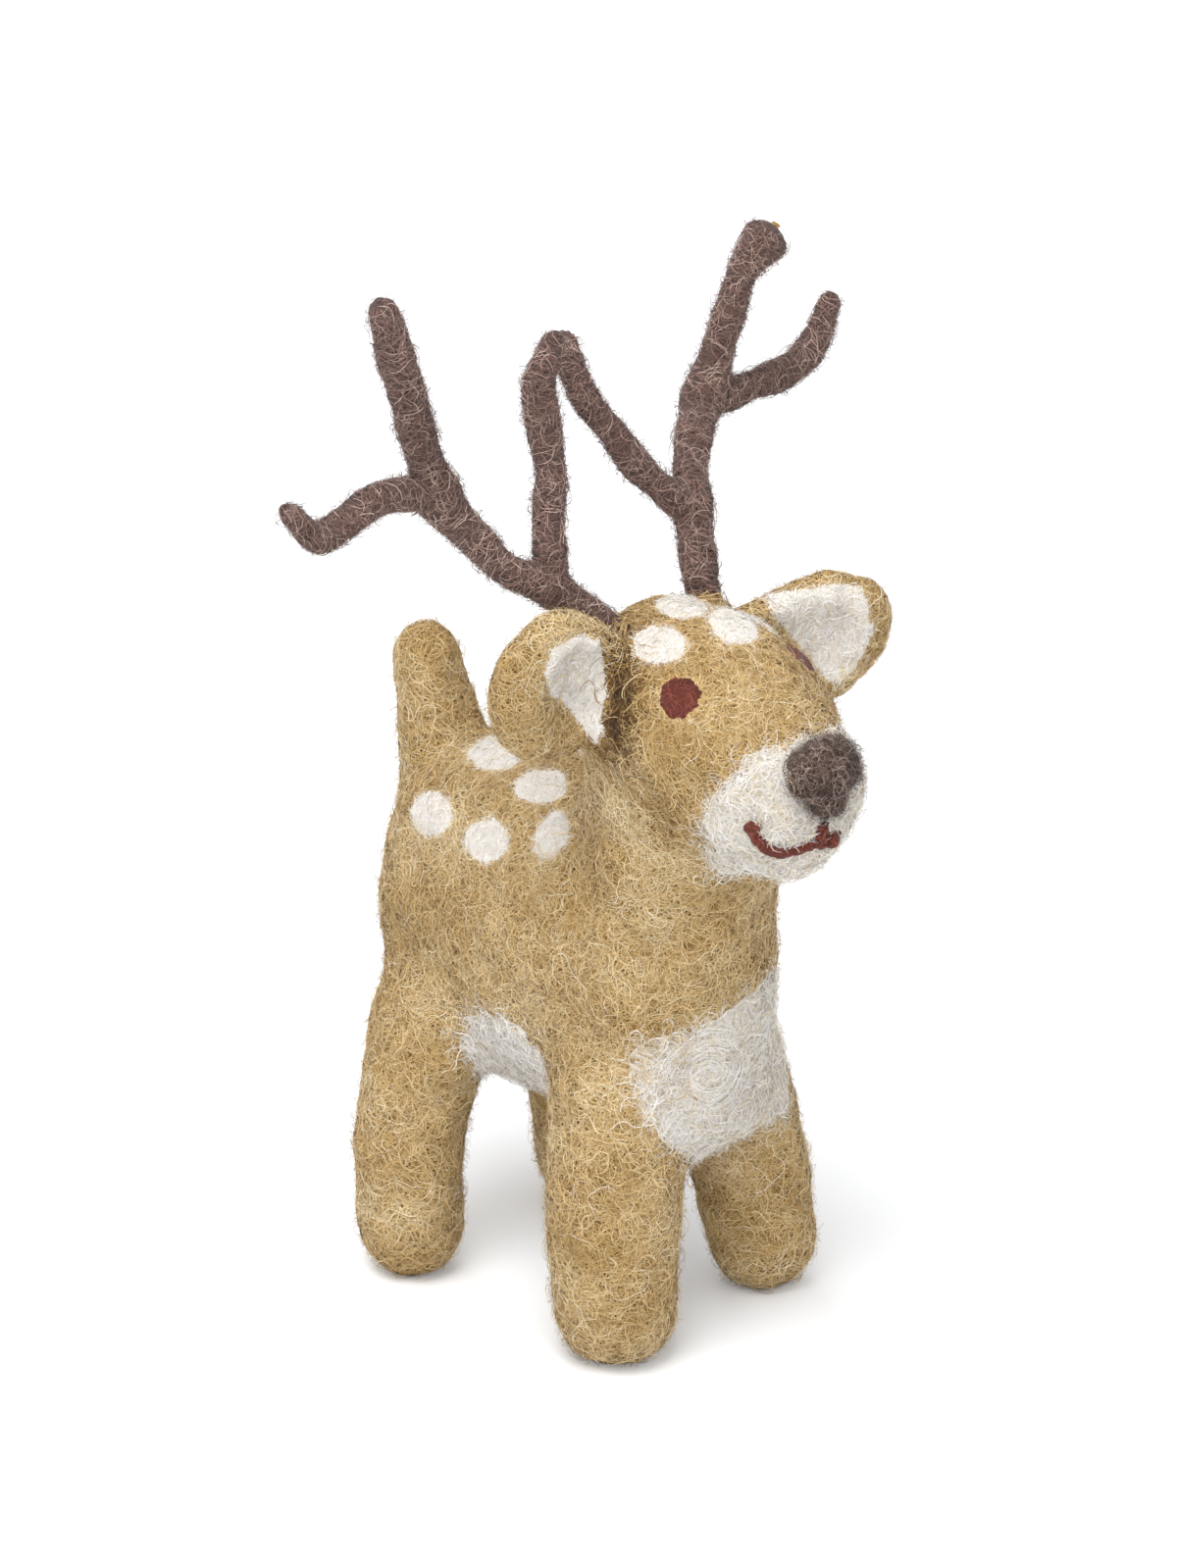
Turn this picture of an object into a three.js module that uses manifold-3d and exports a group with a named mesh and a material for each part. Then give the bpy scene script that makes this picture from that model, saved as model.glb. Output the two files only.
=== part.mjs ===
// A standing fawn felted from wool, with two wire antlers wrapped in yarn.
// Millimetres, +Z up. The deer faces -Y, so its left side is +X. It stands on its four soles, and the origin
// is the middle of its bounding box on the ground.
import * as THREE from "three";
import { mergeVertices } from "three/addons/utils/BufferGeometryUtils.js";
import Module from "manifold-3d";

const wasm = await Module();
wasm.setup();

// Clearances and cutters
const seatGap = 0.3;
const groundSlab = 200;
const weld = 0.001;

// Torso: an upright oval barrel, and a neck that rises from its front
const barrelWidth = 30;
const barrelHeight = 46;
const barrelLength = 36;
const barrelMiddleHeight = 49;
const barrelMiddleBack = 4;
const rumpDome = 12;
const chestDome = 10;
const neckWidth = 25;
const neckDepth = 26;
const neckLength = 45;
const neckFootHeight = 31;
const neckFootInset = 3.5;
const neckLean = 5.5;
const neckDome = 6;
const barrelShares = [
  { along: 0, width: 0.9, height: 0.88, lift: 0.02 },
  { along: 0.33, width: 1, height: 1, lift: 0 },
  { along: 0.67, width: 1, height: 0.98, lift: 0 },
  { along: 1, width: 0.97, height: 0.94, lift: -0.01 },
];
const neckShares = [
  { along: 0, size: 1.04 },
  { along: 0.5, size: 1 },
  { along: 1, size: 0.94 },
];

// Head: a skull that narrows to a short blunt snout, set a little behind the neck's top
const headLength = 22;
const headWidth = 27;
const headHeight = 28;
const headAboveNeck = 10;
const headBehindNeck = 4;
const headRearDome = 10;
const snoutDome = 9.5;
const snoutDrop = 6.5;
const headYaw = 4.5;
const headShares = [
  { along: 0, width: 0.94, height: 0.95, drop: 0 },
  { along: 0.33, width: 1, height: 1, drop: 0 },
  { along: 0.67, width: 1, height: 0.96, drop: 0.38 },
  { along: 1, width: 0.74, height: 0.83, drop: 0.78 },
];

// Legs: felt rolls that swell at the hip and taper to a worn sole. A foot's place is in shares of the stance
// and a hip's in shares of the barrel, each from the barrel's middle.
const stanceWidth = 30;
const stanceLength = 36;
const hipHeight = 38;
const legThickness = 14;
const legToe = 3;
const legDome = 6.5;
const hipDome = 7;
const soleWear = 0.5;
const legShares = [
  { up: 0, across: 0.92, deep: 0.95, toe: 1 },
  { up: 0.33, across: 1, deep: 1, toe: 0.5 },
  { up: 0.67, across: 1.02, deep: 1.1, toe: 0.1 },
  { up: 1, across: 0.98, deep: 1.2, toe: 0 },
];
const legs = [
  {
    name: "leg_front_left",
    footShares: [0.47, -0.47],
    hipShares: [0.28, -0.42],
    thicknessShare: 1.04,
    toeShare: 1,
  },
  {
    name: "leg_front_right",
    footShares: [-0.47, -0.58],
    hipShares: [-0.25, -0.43],
    thicknessShare: 1.18,
    toeShare: 0.17,
  },
  {
    name: "leg_rear_left",
    footShares: [0.52, 0.42],
    hipShares: [0.3, 0.42],
    thicknessShare: 0.985,
    toeShare: 0.33,
  },
  {
    name: "leg_rear_right",
    footShares: [-0.53, 0.47],
    hipShares: [-0.3, 0.44],
    thicknessShare: 0.985,
    toeShare: 0.67,
  },
];

// Tail: an upright cone on the rump
const tailLength = 22;
const tailFootRise = 7;
const tailFootPastRump = 5;
const tailLean = 4.5;
const tailThickness = 13.5;
const tailDome = 5;
const tailShares = [
  { up: 0, size: 1 },
  { up: 0.5, size: 0.8 },
  { up: 1, size: 0.62 },
];

// Ears: thick cupped leaves, each with a lining felted into its dish. A root's place is in shares of the
// head, its sweep forwards and its lift are in degrees.
const earReach = 18;
const earHeight = 20;
const earThickness = 8;
const dishDepth = 2.4;
const liningSink = 0.6;
const earTipDome = 3.5;
const earShares = [
  { out: 0, height: 0.7, thickness: 1.1 },
  { out: 0.4, height: 0.96, thickness: 1 },
  { out: 0.75, height: 1, thickness: 0.9 },
  { out: 1, height: 0.72, thickness: 0.75 },
];
const ears = [
  {
    side: "left",
    sign: 1,
    rootShares: [0.37, 0.06, 0.09],
    reachShare: 1.09,
    sweep: 18,
    lift: 7,
    heightShare: 0.925,
    thicknessShare: 0.875,
    dishPlaceShare: 0.5,
    dishLengthShare: 0.94,
    dishHeightShare: 0.725,
  },
  {
    side: "right",
    sign: -1,
    rootShares: [0.37, 0.03, 0.22],
    reachShare: 0.82,
    sweep: -8,
    lift: 6,
    heightShare: 1.05,
    thicknessShare: 1,
    dishPlaceShare: 0.46,
    dishLengthShare: 0.67,
    dishHeightShare: 0.775,
  },
];

// Felted spots and patches: thin skins on the piece that carries them. A spot's place is in shares of the
// barrel or of the head, and its turn and its way round the barrel are in degrees.
const skinThickness = 0.8;
const backSpotLength = 7;
const backSpotWidth = 5.6;
const backSpots = [
  { alongShare: 0.31, around: 15, turn: 70 },
  { alongShare: 0.04, around: 22, turn: 75 },
  { alongShare: 0.42, around: 51, turn: 20 },
  { alongShare: 0.13, around: 53, turn: 10 },
  { alongShare: -0.14, around: 42, turn: -20 },
];
const foreheadSpotLength = 7.2;
const foreheadSpotWidth = 5;
const foreheadSpots = [
  { aheadShare: 0.28, around: -30, turn: 60 },
  { aheadShare: 0.15, around: -4, turn: 90 },
  { aheadShare: 0.48, around: 7, turn: 60 },
  { aheadShare: 0.39, around: 37, turn: 20 },
];
const chestPatchWidth = 24;
const chestPatchHeight = 22;
const chestPatchDrop = 24;
const chestPatchShares = [
  [-0.5, 0.7],
  [-0.34, 0.9],
  [0.1, 1],
  [0.44, 0.95],
  [0.5, 0.35],
  [0.2, 0.1],
  [-0.18, 0],
  [-0.43, 0.28],
];
const bellyPatchLength = 21;
const bellyPatchWidth = 33;
const bellyPatchDrop = 10;
const muzzleWidth = 30;
const muzzleLength = 34;
const muzzleHeight = 31;
const muzzlePastHead = 10;
const muzzleDrop = 12.2;

// Nose, eyes and mouth. Drops are counted from the head's middle height.
const noseWidth = 10.2;
const noseDepth = 8;
const noseRise = 2.4;
const noseDrop = 4;
const noseTopPastHead = 8.6;
const noseFootPastHead = 10.8;
const noseDome = 2.4;
const noseShares = [
  { down: 0, size: 0.86 },
  { down: 0.5, size: 1 },
  { down: 1, size: 0.5 },
];
const eyeWidth = 5.2;
const eyeAheadShare = 0.66;
const eyeAround = 41;
const mouthHalfWidth = 7.4;
const mouthCornerDrop = 5.4;
const mouthLowDrop = 8.2;
const mouthMiddleDrop = 7.5;
const mouthLowShare = 0.72;
const mouthStrand = 1.7;
const philtrumDrop = 6;
const smileSteps = 12;

// Antlers: yarn sleeves over wires, routed in shares of their reach, lean and rise from the base on the head
const antlerBaseOut = 7.6;
const antlerBaseBehind = 2;
const antlerBaseRise = 11;
const antlerReach = 41;
const antlerLean = 15;
const antlerRise = 50;
const sleeveThickness = 4.5;
const tineThickness = 4.2;
const sleeveTipDome = 1.8;
const wireThickness = 1.2;
const wireInHead = 9;
const wireShortOfTip = 2;
const wireShowing = 0.7;
const antlers = [
  {
    side: "left",
    sign: 1,
    mainShares: [
      [0.03, 0, 0],
      [0.1, 0.33, 0.19],
      [0.22, 0.67, 0.31],
      [0.37, 0.96, 0.37],
      [0.47, 0.94, 0.57],
      [0.55, 0.91, 0.71],
      [0.62, 0.88, 0.77],
    ],
    lowerFork: 1,
    upperFork: 3,
    mainSizeShares: [1, 1.1, 0.96, 1.16, 1.04, 1.1, 1.16],
    innerShares: [
      [0.1, 0.33, 0.19],
      [-0.01, 0.5, 0.29],
      [-0.17, 0.87, 0.52],
      [-0.18, 1.1, 0.64],
    ],
    outerShares: [
      [0.37, 0.96, 0.37],
      [0.56, 1, 0.35],
      [0.88, 1.05, 0.38],
      [0.98, 1.09, 0.48],
    ],
    tineSizeShares: [1, 0.96, 1.04, 0.8],
    wireTipShows: true,
  },
  {
    side: "right",
    sign: -1,
    mainShares: [
      [0.02, 0, 0.01],
      [0.15, 0.33, 0.13],
      [0.28, 0.55, 0.21],
      [0.41, 0.96, 0.4],
      [0.5, 0.93, 0.6],
      [0.59, 0.91, 0.81],
      [0.65, 0.88, 0.95],
    ],
    lowerFork: 1,
    upperFork: 3,
    mainSizeShares: [1, 1.1, 1, 1.16, 1, 1.2, 0.7],
    innerShares: [
      [0.15, 0.33, 0.13],
      [0.08, 0.53, 0.41],
      [0.07, 0.67, 0.65],
      [-0.01, 0.73, 0.72],
    ],
    outerShares: [
      [0.41, 0.96, 0.4],
      [0.66, 1, 0.43],
      [0.86, 1.06, 0.37],
      [0.97, 1.09, 0.46],
    ],
    tineSizeShares: [1, 0.96, 1.1, 0.75],
    wireTipShows: false,
  },
];

// Bindings: the heaped turns of yarn just below each fork
const bindingTurns = 5;
const bindingStrand = 0.5;
const bindingPitch = 1.25;
const bindingBelowFork = 1.5;
const bindingSteps = 20;
const bindingSides = 5;

// Places that follow from the sizes
const rumpEnd = barrelMiddleBack + barrelLength / 2;
const chestEnd = barrelMiddleBack - barrelLength / 2;
const neckFootBack = chestEnd + neckFootInset;
const neckTopBack = neckFootBack - neckLean;
const neckTopHeight = neckFootHeight + neckLength;
const headMiddleHeight = neckTopHeight + headAboveNeck;
const headBack = neckTopBack + headBehindNeck;

const materials = {
  tan: new THREE.MeshStandardMaterial({ color: 0xbe9e62, roughness: 0.95, metalness: 0 }),
  white: new THREE.MeshStandardMaterial({ color: 0xece6de, roughness: 0.95, metalness: 0 }),
  dark: new THREE.MeshStandardMaterial({ color: 0x695855, roughness: 0.9, metalness: 0 }),
  rust: new THREE.MeshStandardMaterial({ color: 0x7d3c2d, roughness: 0.9, metalness: 0 }),
  yarn: new THREE.MeshStandardMaterial({ color: 0x69524e, roughness: 0.9, metalness: 0 }),
  wire: new THREE.MeshStandardMaterial({ color: 0xc9a86a, roughness: 0.35, metalness: 1 }),
};

const up = new THREE.Vector3(0, 0, 1);
const left = new THREE.Vector3(1, 0, 0);
const back = new THREE.Vector3(0, 1, 0);

// Turns a closed geometry into a solid that can be joined and cut.
function solid(geometry) {
  const bare = geometry.clone();
  bare.deleteAttribute("normal");
  bare.deleteAttribute("uv");
  const merged = mergeVertices(bare, weld);
  return new wasm.Manifold(
    new wasm.Mesh({
      numProp: 3,
      vertProperties: merged.attributes.position.array,
      triVerts: new Uint32Array(merged.index.array),
    }),
  );
}

function geometryOf(body) {
  const { numProp, vertProperties, triVerts } = body.getMesh();
  const positions = new Float32Array((vertProperties.length / numProp) * 3);
  for (let i = 0; i < positions.length / 3; i++) {
    positions.set(vertProperties.subarray(i * numProp, i * numProp + 3), i * 3);
  }
  const geometry = new THREE.BufferGeometry();
  geometry.setAttribute("position", new THREE.BufferAttribute(positions, 3));
  geometry.setIndex(new THREE.BufferAttribute(triVerts, 1));
  geometry.computeVertexNormals();
  return geometry;
}

// Booleans can shave off a sliver: the piece itself is the largest body.
function largest(body) {
  return body.decompose().reduce((a, b) => (b.volume() > a.volume() ? b : a));
}

// Joins rings of points into one closed skin, with a pole at each end.
function skinOver(loops, startPole, endPole) {
  const points = [startPole, ...loops.flat(), endPole];
  const sides = loops[0].length;
  const first = (ring) => 1 + ring * sides;
  const last = points.length - 1;
  const faces = [];
  for (let j = 0; j < sides; j++) {
    const next = (j + 1) % sides;
    faces.push(0, first(0) + next, first(0) + j);
    for (let i = 0; i + 1 < loops.length; i++) {
      faces.push(first(i) + j, first(i) + next, first(i + 1) + next);
      faces.push(first(i) + j, first(i + 1) + next, first(i + 1) + j);
    }
    faces.push(first(loops.length - 1) + j, first(loops.length - 1) + next, last);
  }
  const geometry = new THREE.BufferGeometry().setFromPoints(points);
  geometry.setIndex(faces);
  return solid(geometry);
}

// A ring round `centre`, square to `along`, with its half sizes across and deep.
function ring(centre, along, side, across, deep, sides) {
  const u = side.clone().addScaledVector(along, -side.dot(along)).normalize();
  const v = new THREE.Vector3().crossVectors(along, u);
  return Array.from({ length: sides }, (_, k) => {
    const angle = (2 * Math.PI * k) / sides;
    return centre
      .clone()
      .addScaledVector(u, across * Math.cos(angle))
      .addScaledVector(v, deep * Math.sin(angle));
  });
}

// A body that swells and tapers along a smooth spine. Each station gives its centre and two half sizes, domes
// close the ends, and `grow` moves the whole skin outwards.
function plump(stations, { side, rings, sides, startDome, endDome, domeRings = 4 }, grow = 0) {
  const spine = new THREE.CatmullRomCurve3(stations.map((s) => s.centre));
  const sizes = new THREE.SplineCurve(stations.map((s) => new THREE.Vector2(s.across, s.deep)));
  const ringAt = (share, push, size) => {
    const along = spine.getTangent(share);
    const centre = spine.getPoint(share).addScaledVector(along, push);
    const half = sizes.getPoint(share);
    return ring(centre, along, side, (half.x + grow) * size, (half.y + grow) * size, sides);
  };
  const poleAt = (share, push) => spine.getPoint(share).addScaledVector(spine.getTangent(share), push);
  const loops = [];
  for (let k = 1; k < domeRings; k++) {
    const angle = (Math.PI / 2) * (k / domeRings);
    loops.push(ringAt(0, -(startDome + grow) * Math.cos(angle), Math.sin(angle)));
  }
  for (let i = 0; i <= rings; i++) {
    loops.push(ringAt(i / rings, 0, 1));
  }
  for (let k = domeRings - 1; k > 0; k--) {
    const angle = (Math.PI / 2) * (k / domeRings);
    loops.push(ringAt(1, (endDome + grow) * Math.cos(angle), Math.sin(angle)));
  }
  return skinOver(loops, poleAt(0, -(startDome + grow)), poleAt(1, endDome + grow));
}

// An ellipsoid of three half sizes.
function ellipsoid(centre, halves, axes, grow = 0) {
  const geometry = new THREE.SphereGeometry(1, 16, 10);
  const [x, y, z] = axes.map((axis, i) => axis.clone().multiplyScalar(halves[i] + grow));
  geometry.applyMatrix4(new THREE.Matrix4().makeBasis(x, y, z).setPosition(centre));
  return solid(geometry);
}

// A flat outline pushed from `from` along `towards`, turned so that its own +X follows `right`.
function prism(shape, from, towards, right, length, segments = 4) {
  const geometry = new THREE.ExtrudeGeometry(shape, {
    depth: length,
    bevelEnabled: false,
    curveSegments: segments,
  });
  const z = towards.clone().normalize();
  const x = right.clone().addScaledVector(z, -right.dot(z)).normalize();
  const y = new THREE.Vector3().crossVectors(z, x);
  geometry.applyMatrix4(new THREE.Matrix4().makeBasis(x, y, z).setPosition(from));
  return solid(geometry);
}

function oval(length, width) {
  return new THREE.Shape().absellipse(0, 0, length / 2, width / 2, 0, 2 * Math.PI, false, 0);
}

const degrees = (angle) => THREE.MathUtils.degToRad(angle);

// Torso

function barrelForm(grow) {
  const stations = barrelShares.map((s) => ({
    centre: new THREE.Vector3(
      0,
      THREE.MathUtils.lerp(rumpEnd, chestEnd, s.along),
      barrelMiddleHeight + s.lift * barrelHeight,
    ),
    across: (barrelWidth * s.width) / 2,
    deep: (barrelHeight * s.height) / 2,
  }));
  const shape = { side: left, rings: 7, sides: 28, startDome: rumpDome, endDome: chestDome, domeRings: 5 };
  return plump(stations, shape, grow);
}

function neckForm(grow) {
  const stations = neckShares.map((s) => ({
    centre: new THREE.Vector3(
      0,
      THREE.MathUtils.lerp(neckFootBack, neckTopBack, s.along),
      neckFootHeight + s.along * neckLength,
    ),
    across: (neckWidth * s.size) / 2,
    deep: (neckDepth * s.size) / 2,
  }));
  const shape = { side: left, rings: 6, sides: 24, startDome: neckDome, endDome: neckDome };
  return plump(stations, shape, grow);
}

function torsoForm(grow = 0) {
  return barrelForm(grow).add(neckForm(grow));
}

// Head, in its own frame: the origin is where it turns on the neck, and it looks along -Y
const headFrame = new THREE.Matrix4()
  .makeTranslation(0, headBack, 0)
  .multiply(new THREE.Matrix4().makeRotationZ(-degrees(headYaw)));
const inHead = (x, y, z) => new THREE.Vector3(x, y, z).applyMatrix4(headFrame);
const headLeft = left.clone().transformDirection(headFrame);
const headAhead = back.clone().negate().transformDirection(headFrame);

function headForm(grow = 0) {
  const stations = headShares.map((s) => ({
    centre: inHead(0, -s.along * headLength, headMiddleHeight - s.drop * snoutDrop),
    across: (headWidth * s.width) / 2,
    deep: (headHeight * s.height) / 2,
  }));
  const shape = {
    side: headLeft,
    rings: 7,
    sides: 26,
    startDome: headRearDome,
    endDome: snoutDome,
    domeRings: 5,
  };
  return plump(stations, shape, grow);
}

// Legs

function legForm(leg, grow = 0) {
  const [footSide, footBack] = leg.footShares;
  const [hipSide, hipBack] = leg.hipShares;
  const foot = new THREE.Vector3(footSide * stanceWidth, footBack * stanceLength + barrelMiddleBack);
  const hip = new THREE.Vector3(hipSide * barrelWidth, hipBack * barrelLength + barrelMiddleBack);
  const stations = legShares.map((s) => ({
    centre: new THREE.Vector3(
      THREE.MathUtils.lerp(foot.x, hip.x, s.up * s.up),
      THREE.MathUtils.lerp(foot.y, hip.y, s.up * s.up) - leg.toeShare * legToe * s.toe,
      THREE.MathUtils.lerp(legDome - soleWear, hipHeight, s.up),
    ),
    across: (leg.thicknessShare * legThickness * s.across) / 2,
    deep: (leg.thicknessShare * legThickness * s.deep) / 2,
  }));
  const shape = { side: left, rings: 6, sides: 15, startDome: legDome, endDome: hipDome };
  return plump(stations, shape, grow);
}

function ground() {
  const slab = new THREE.BoxGeometry(groundSlab, groundSlab, groundSlab);
  slab.translate(0, 0, -groundSlab / 2);
  return solid(slab);
}

// Tail

function tailForm(grow = 0) {
  const stations = tailShares.map((s) => ({
    centre: new THREE.Vector3(
      0,
      rumpEnd + tailFootPastRump + s.up * tailLean,
      barrelMiddleHeight + tailFootRise + s.up * tailLength,
    ),
    across: (tailThickness * s.size) / 2,
    deep: (tailThickness * s.size) / 2,
  }));
  const shape = { side: left, rings: 6, sides: 16, startDome: tailDome, endDome: tailDome };
  return plump(stations, shape, grow);
}

// Ears

function earLine(ear) {
  const [side, ahead, rise] = ear.rootShares;
  const root = inHead(
    ear.sign * side * headWidth,
    -ahead * headLength,
    headMiddleHeight + rise * headHeight,
  );
  const sweep = degrees(ear.sweep);
  const lift = degrees(ear.lift);
  const way = new THREE.Vector3(
    ear.sign * Math.cos(sweep) * Math.cos(lift),
    -Math.sin(sweep) * Math.cos(lift),
    Math.sin(lift),
  );
  return { root, tip: root.clone().addScaledVector(way, ear.reachShare * earReach), way };
}

function earForm(ear, grow = 0) {
  const { root, tip } = earLine(ear);
  const stations = earShares.map((s) => ({
    centre: root.clone().lerp(tip, s.out),
    across: (ear.heightShare * earHeight * s.height) / 2,
    deep: (ear.thicknessShare * earThickness * s.thickness) / 2,
  }));
  const shape = { side: up, rings: 6, sides: 14, startDome: earTipDome, endDome: earTipDome };
  return plump(stations, shape, grow);
}

function earDish(ear, grow = 0) {
  const { root, tip, way } = earLine(ear);
  const rise = up.clone().addScaledVector(way, -up.dot(way)).normalize().multiplyScalar(ear.sign);
  const front = new THREE.Vector3().crossVectors(way, rise);
  const surface = (ear.thicknessShare * earThickness) / 2;
  const centre = root.lerp(tip, ear.dishPlaceShare).addScaledVector(front, surface);
  const halves = [
    (ear.dishLengthShare * earReach) / 2,
    (ear.dishHeightShare * earHeight) / 2,
    dishDepth,
  ];
  return ellipsoid(centre, halves, [way, rise, front], grow);
}

// Skins: what lies between two grown forms of the carrier, inside a cutter
function skin(form, cutter, lift = 0) {
  const outer = form(lift + seatGap + skinThickness);
  return largest(outer.intersect(cutter).subtract(form(lift + seatGap)));
}

function backSpotCutter(spot, sign) {
  const along = barrelMiddleBack + spot.alongShare * barrelLength;
  const from = new THREE.Vector3(0, along, barrelMiddleHeight);
  const around = degrees(spot.around) * sign;
  const across = Math.sin(around) * (barrelWidth / 2);
  const towards = new THREE.Vector3(across, 0, Math.cos(around) * (barrelHeight / 2));
  const turn = degrees(spot.turn) * sign;
  const right = back.clone().multiplyScalar(Math.cos(turn)).addScaledVector(left, Math.sin(turn));
  return prism(oval(backSpotLength, backSpotWidth), from, towards, right, barrelHeight);
}

function foreheadSpotCutter(spot) {
  const from = inHead(0, -spot.aheadShare * headLength, headMiddleHeight);
  const around = degrees(spot.around);
  const towards = left.clone().multiplyScalar(Math.sin(around)).addScaledVector(up, Math.cos(around));
  const turn = degrees(spot.turn);
  const right = headAhead.clone().multiplyScalar(Math.cos(turn)).addScaledVector(headLeft, Math.sin(turn));
  return prism(oval(foreheadSpotLength, foreheadSpotWidth), from, towards, right, headHeight);
}

function chestPatchCutter() {
  const low = barrelMiddleHeight - chestPatchDrop;
  const points = chestPatchShares.map(
    ([x, y]) => new THREE.Vector2(x * chestPatchWidth, low + y * chestPatchHeight),
  );
  const shape = new THREE.Shape(new THREE.SplineCurve([...points, points[0]]).getPoints(points.length * 3));
  const from = new THREE.Vector3(0, neckFootBack, 0);
  return prism(shape, from, back.clone().negate(), left, barrelLength);
}

function bellyPatchCutter() {
  const from = new THREE.Vector3(0, barrelMiddleBack, barrelMiddleHeight - bellyPatchDrop);
  return prism(oval(bellyPatchWidth, bellyPatchLength), from, up.clone().negate(), left, barrelHeight);
}

function muzzleCutter() {
  const axes = [headLeft, headAhead.clone().negate(), up];
  const centre = inHead(0, -headLength - muzzlePastHead, headMiddleHeight - muzzleDrop);
  return ellipsoid(centre, [muzzleWidth / 2, muzzleLength / 2, muzzleHeight / 2], axes);
}

function eyeCutter(sign) {
  const from = inHead(0, -eyeAheadShare * headLength, headMiddleHeight - snoutDrop / 2);
  const around = degrees(eyeAround) * sign;
  const towards = headLeft.clone().multiplyScalar(Math.sin(around)).addScaledVector(up, Math.cos(around));
  return prism(oval(eyeWidth, eyeWidth), from, towards, headAhead, headWidth);
}

function noseForm(grow = 0) {
  const stations = noseShares.map((s) => ({
    centre: inHead(
      0,
      -headLength - THREE.MathUtils.lerp(noseTopPastHead, noseFootPastHead, s.down),
      headMiddleHeight + THREE.MathUtils.lerp(noseRise, -noseDrop, s.down),
    ),
    across: (noseWidth * s.size) / 2,
    deep: (noseDepth * s.size) / 2,
  }));
  const shape = { side: headLeft, rings: 5, sides: 14, startDome: noseDome, endDome: noseDome };
  return plump(stations, shape, grow);
}

// The mouth strand is one smile with an upright below the nose, seen from the front.
function mouthCutter() {
  const middle = headMiddleHeight - mouthMiddleDrop;
  const smile = new THREE.SplineCurve([
    new THREE.Vector2(-mouthHalfWidth, headMiddleHeight - mouthCornerDrop),
    new THREE.Vector2(-mouthHalfWidth * mouthLowShare, headMiddleHeight - mouthLowDrop),
    new THREE.Vector2(0, middle),
    new THREE.Vector2(mouthHalfWidth * mouthLowShare, headMiddleHeight - mouthLowDrop),
    new THREE.Vector2(mouthHalfWidth, headMiddleHeight - mouthCornerDrop),
  ]);
  const edge = (side) =>
    Array.from({ length: smileSteps + 1 }, (_, i) => {
      const tangent = smile.getTangent(i / smileSteps);
      const normal = new THREE.Vector2(-tangent.y, tangent.x);
      return smile.getPoint(i / smileSteps).addScaledVector(normal, (side * mouthStrand) / 2);
    });
  const from = inHead(0, -headLength, 0);
  const curved = new THREE.Shape([...edge(-1), ...edge(1).reverse()]);
  const strip = prism(curved, from, headAhead, headLeft, headLength);
  const philtrumTop = headMiddleHeight - philtrumDrop;
  const upright = new THREE.Shape([
    new THREE.Vector2(-mouthStrand / 2, middle),
    new THREE.Vector2(mouthStrand / 2, middle),
    new THREE.Vector2(mouthStrand / 2, philtrumTop),
    new THREE.Vector2(-mouthStrand / 2, philtrumTop),
  ]);
  return strip.add(prism(upright, from, headAhead, headLeft, headLength));
}

// Antlers

function antlerRoute(antler, shares) {
  return shares.map(
    ([out, lean, rise]) =>
      new THREE.Vector3(
        antler.sign * (antlerBaseOut + out * antlerReach),
        headBack + antlerBaseBehind + lean * antlerLean,
        headMiddleHeight + antlerBaseRise + rise * antlerRise,
      ),
  );
}

function sleeveForm(route, thickness, sizes, rings, grow = 0) {
  const stations = route.map((centre, i) => ({
    centre,
    across: (thickness * sizes[i]) / 2,
    deep: (thickness * sizes[i]) / 2,
  }));
  const shape = {
    side: back,
    rings,
    sides: 8,
    startDome: sleeveTipDome,
    endDome: sleeveTipDome,
    domeRings: 3,
  };
  return plump(stations, shape, grow);
}

// A wire along a route. It starts `before` the route's first point and ends `past` its last one.
function wireForm(route, before, past, rings, grow = 0) {
  const points = route.map((p) => p.clone());
  const startWay = route[0].clone().sub(route[1]).normalize();
  const endWay = route.at(-1).clone().sub(route.at(-2)).normalize();
  points[0].addScaledVector(startWay, before);
  points[points.length - 1].addScaledVector(endWay, past);
  const stations = points.map((centre) => ({
    centre,
    across: wireThickness / 2,
    deep: wireThickness / 2,
  }));
  const shape = { side: back, rings, sides: 6, startDome: grow, endDome: grow, domeRings: 1 };
  return plump(stations, shape, grow);
}

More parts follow.
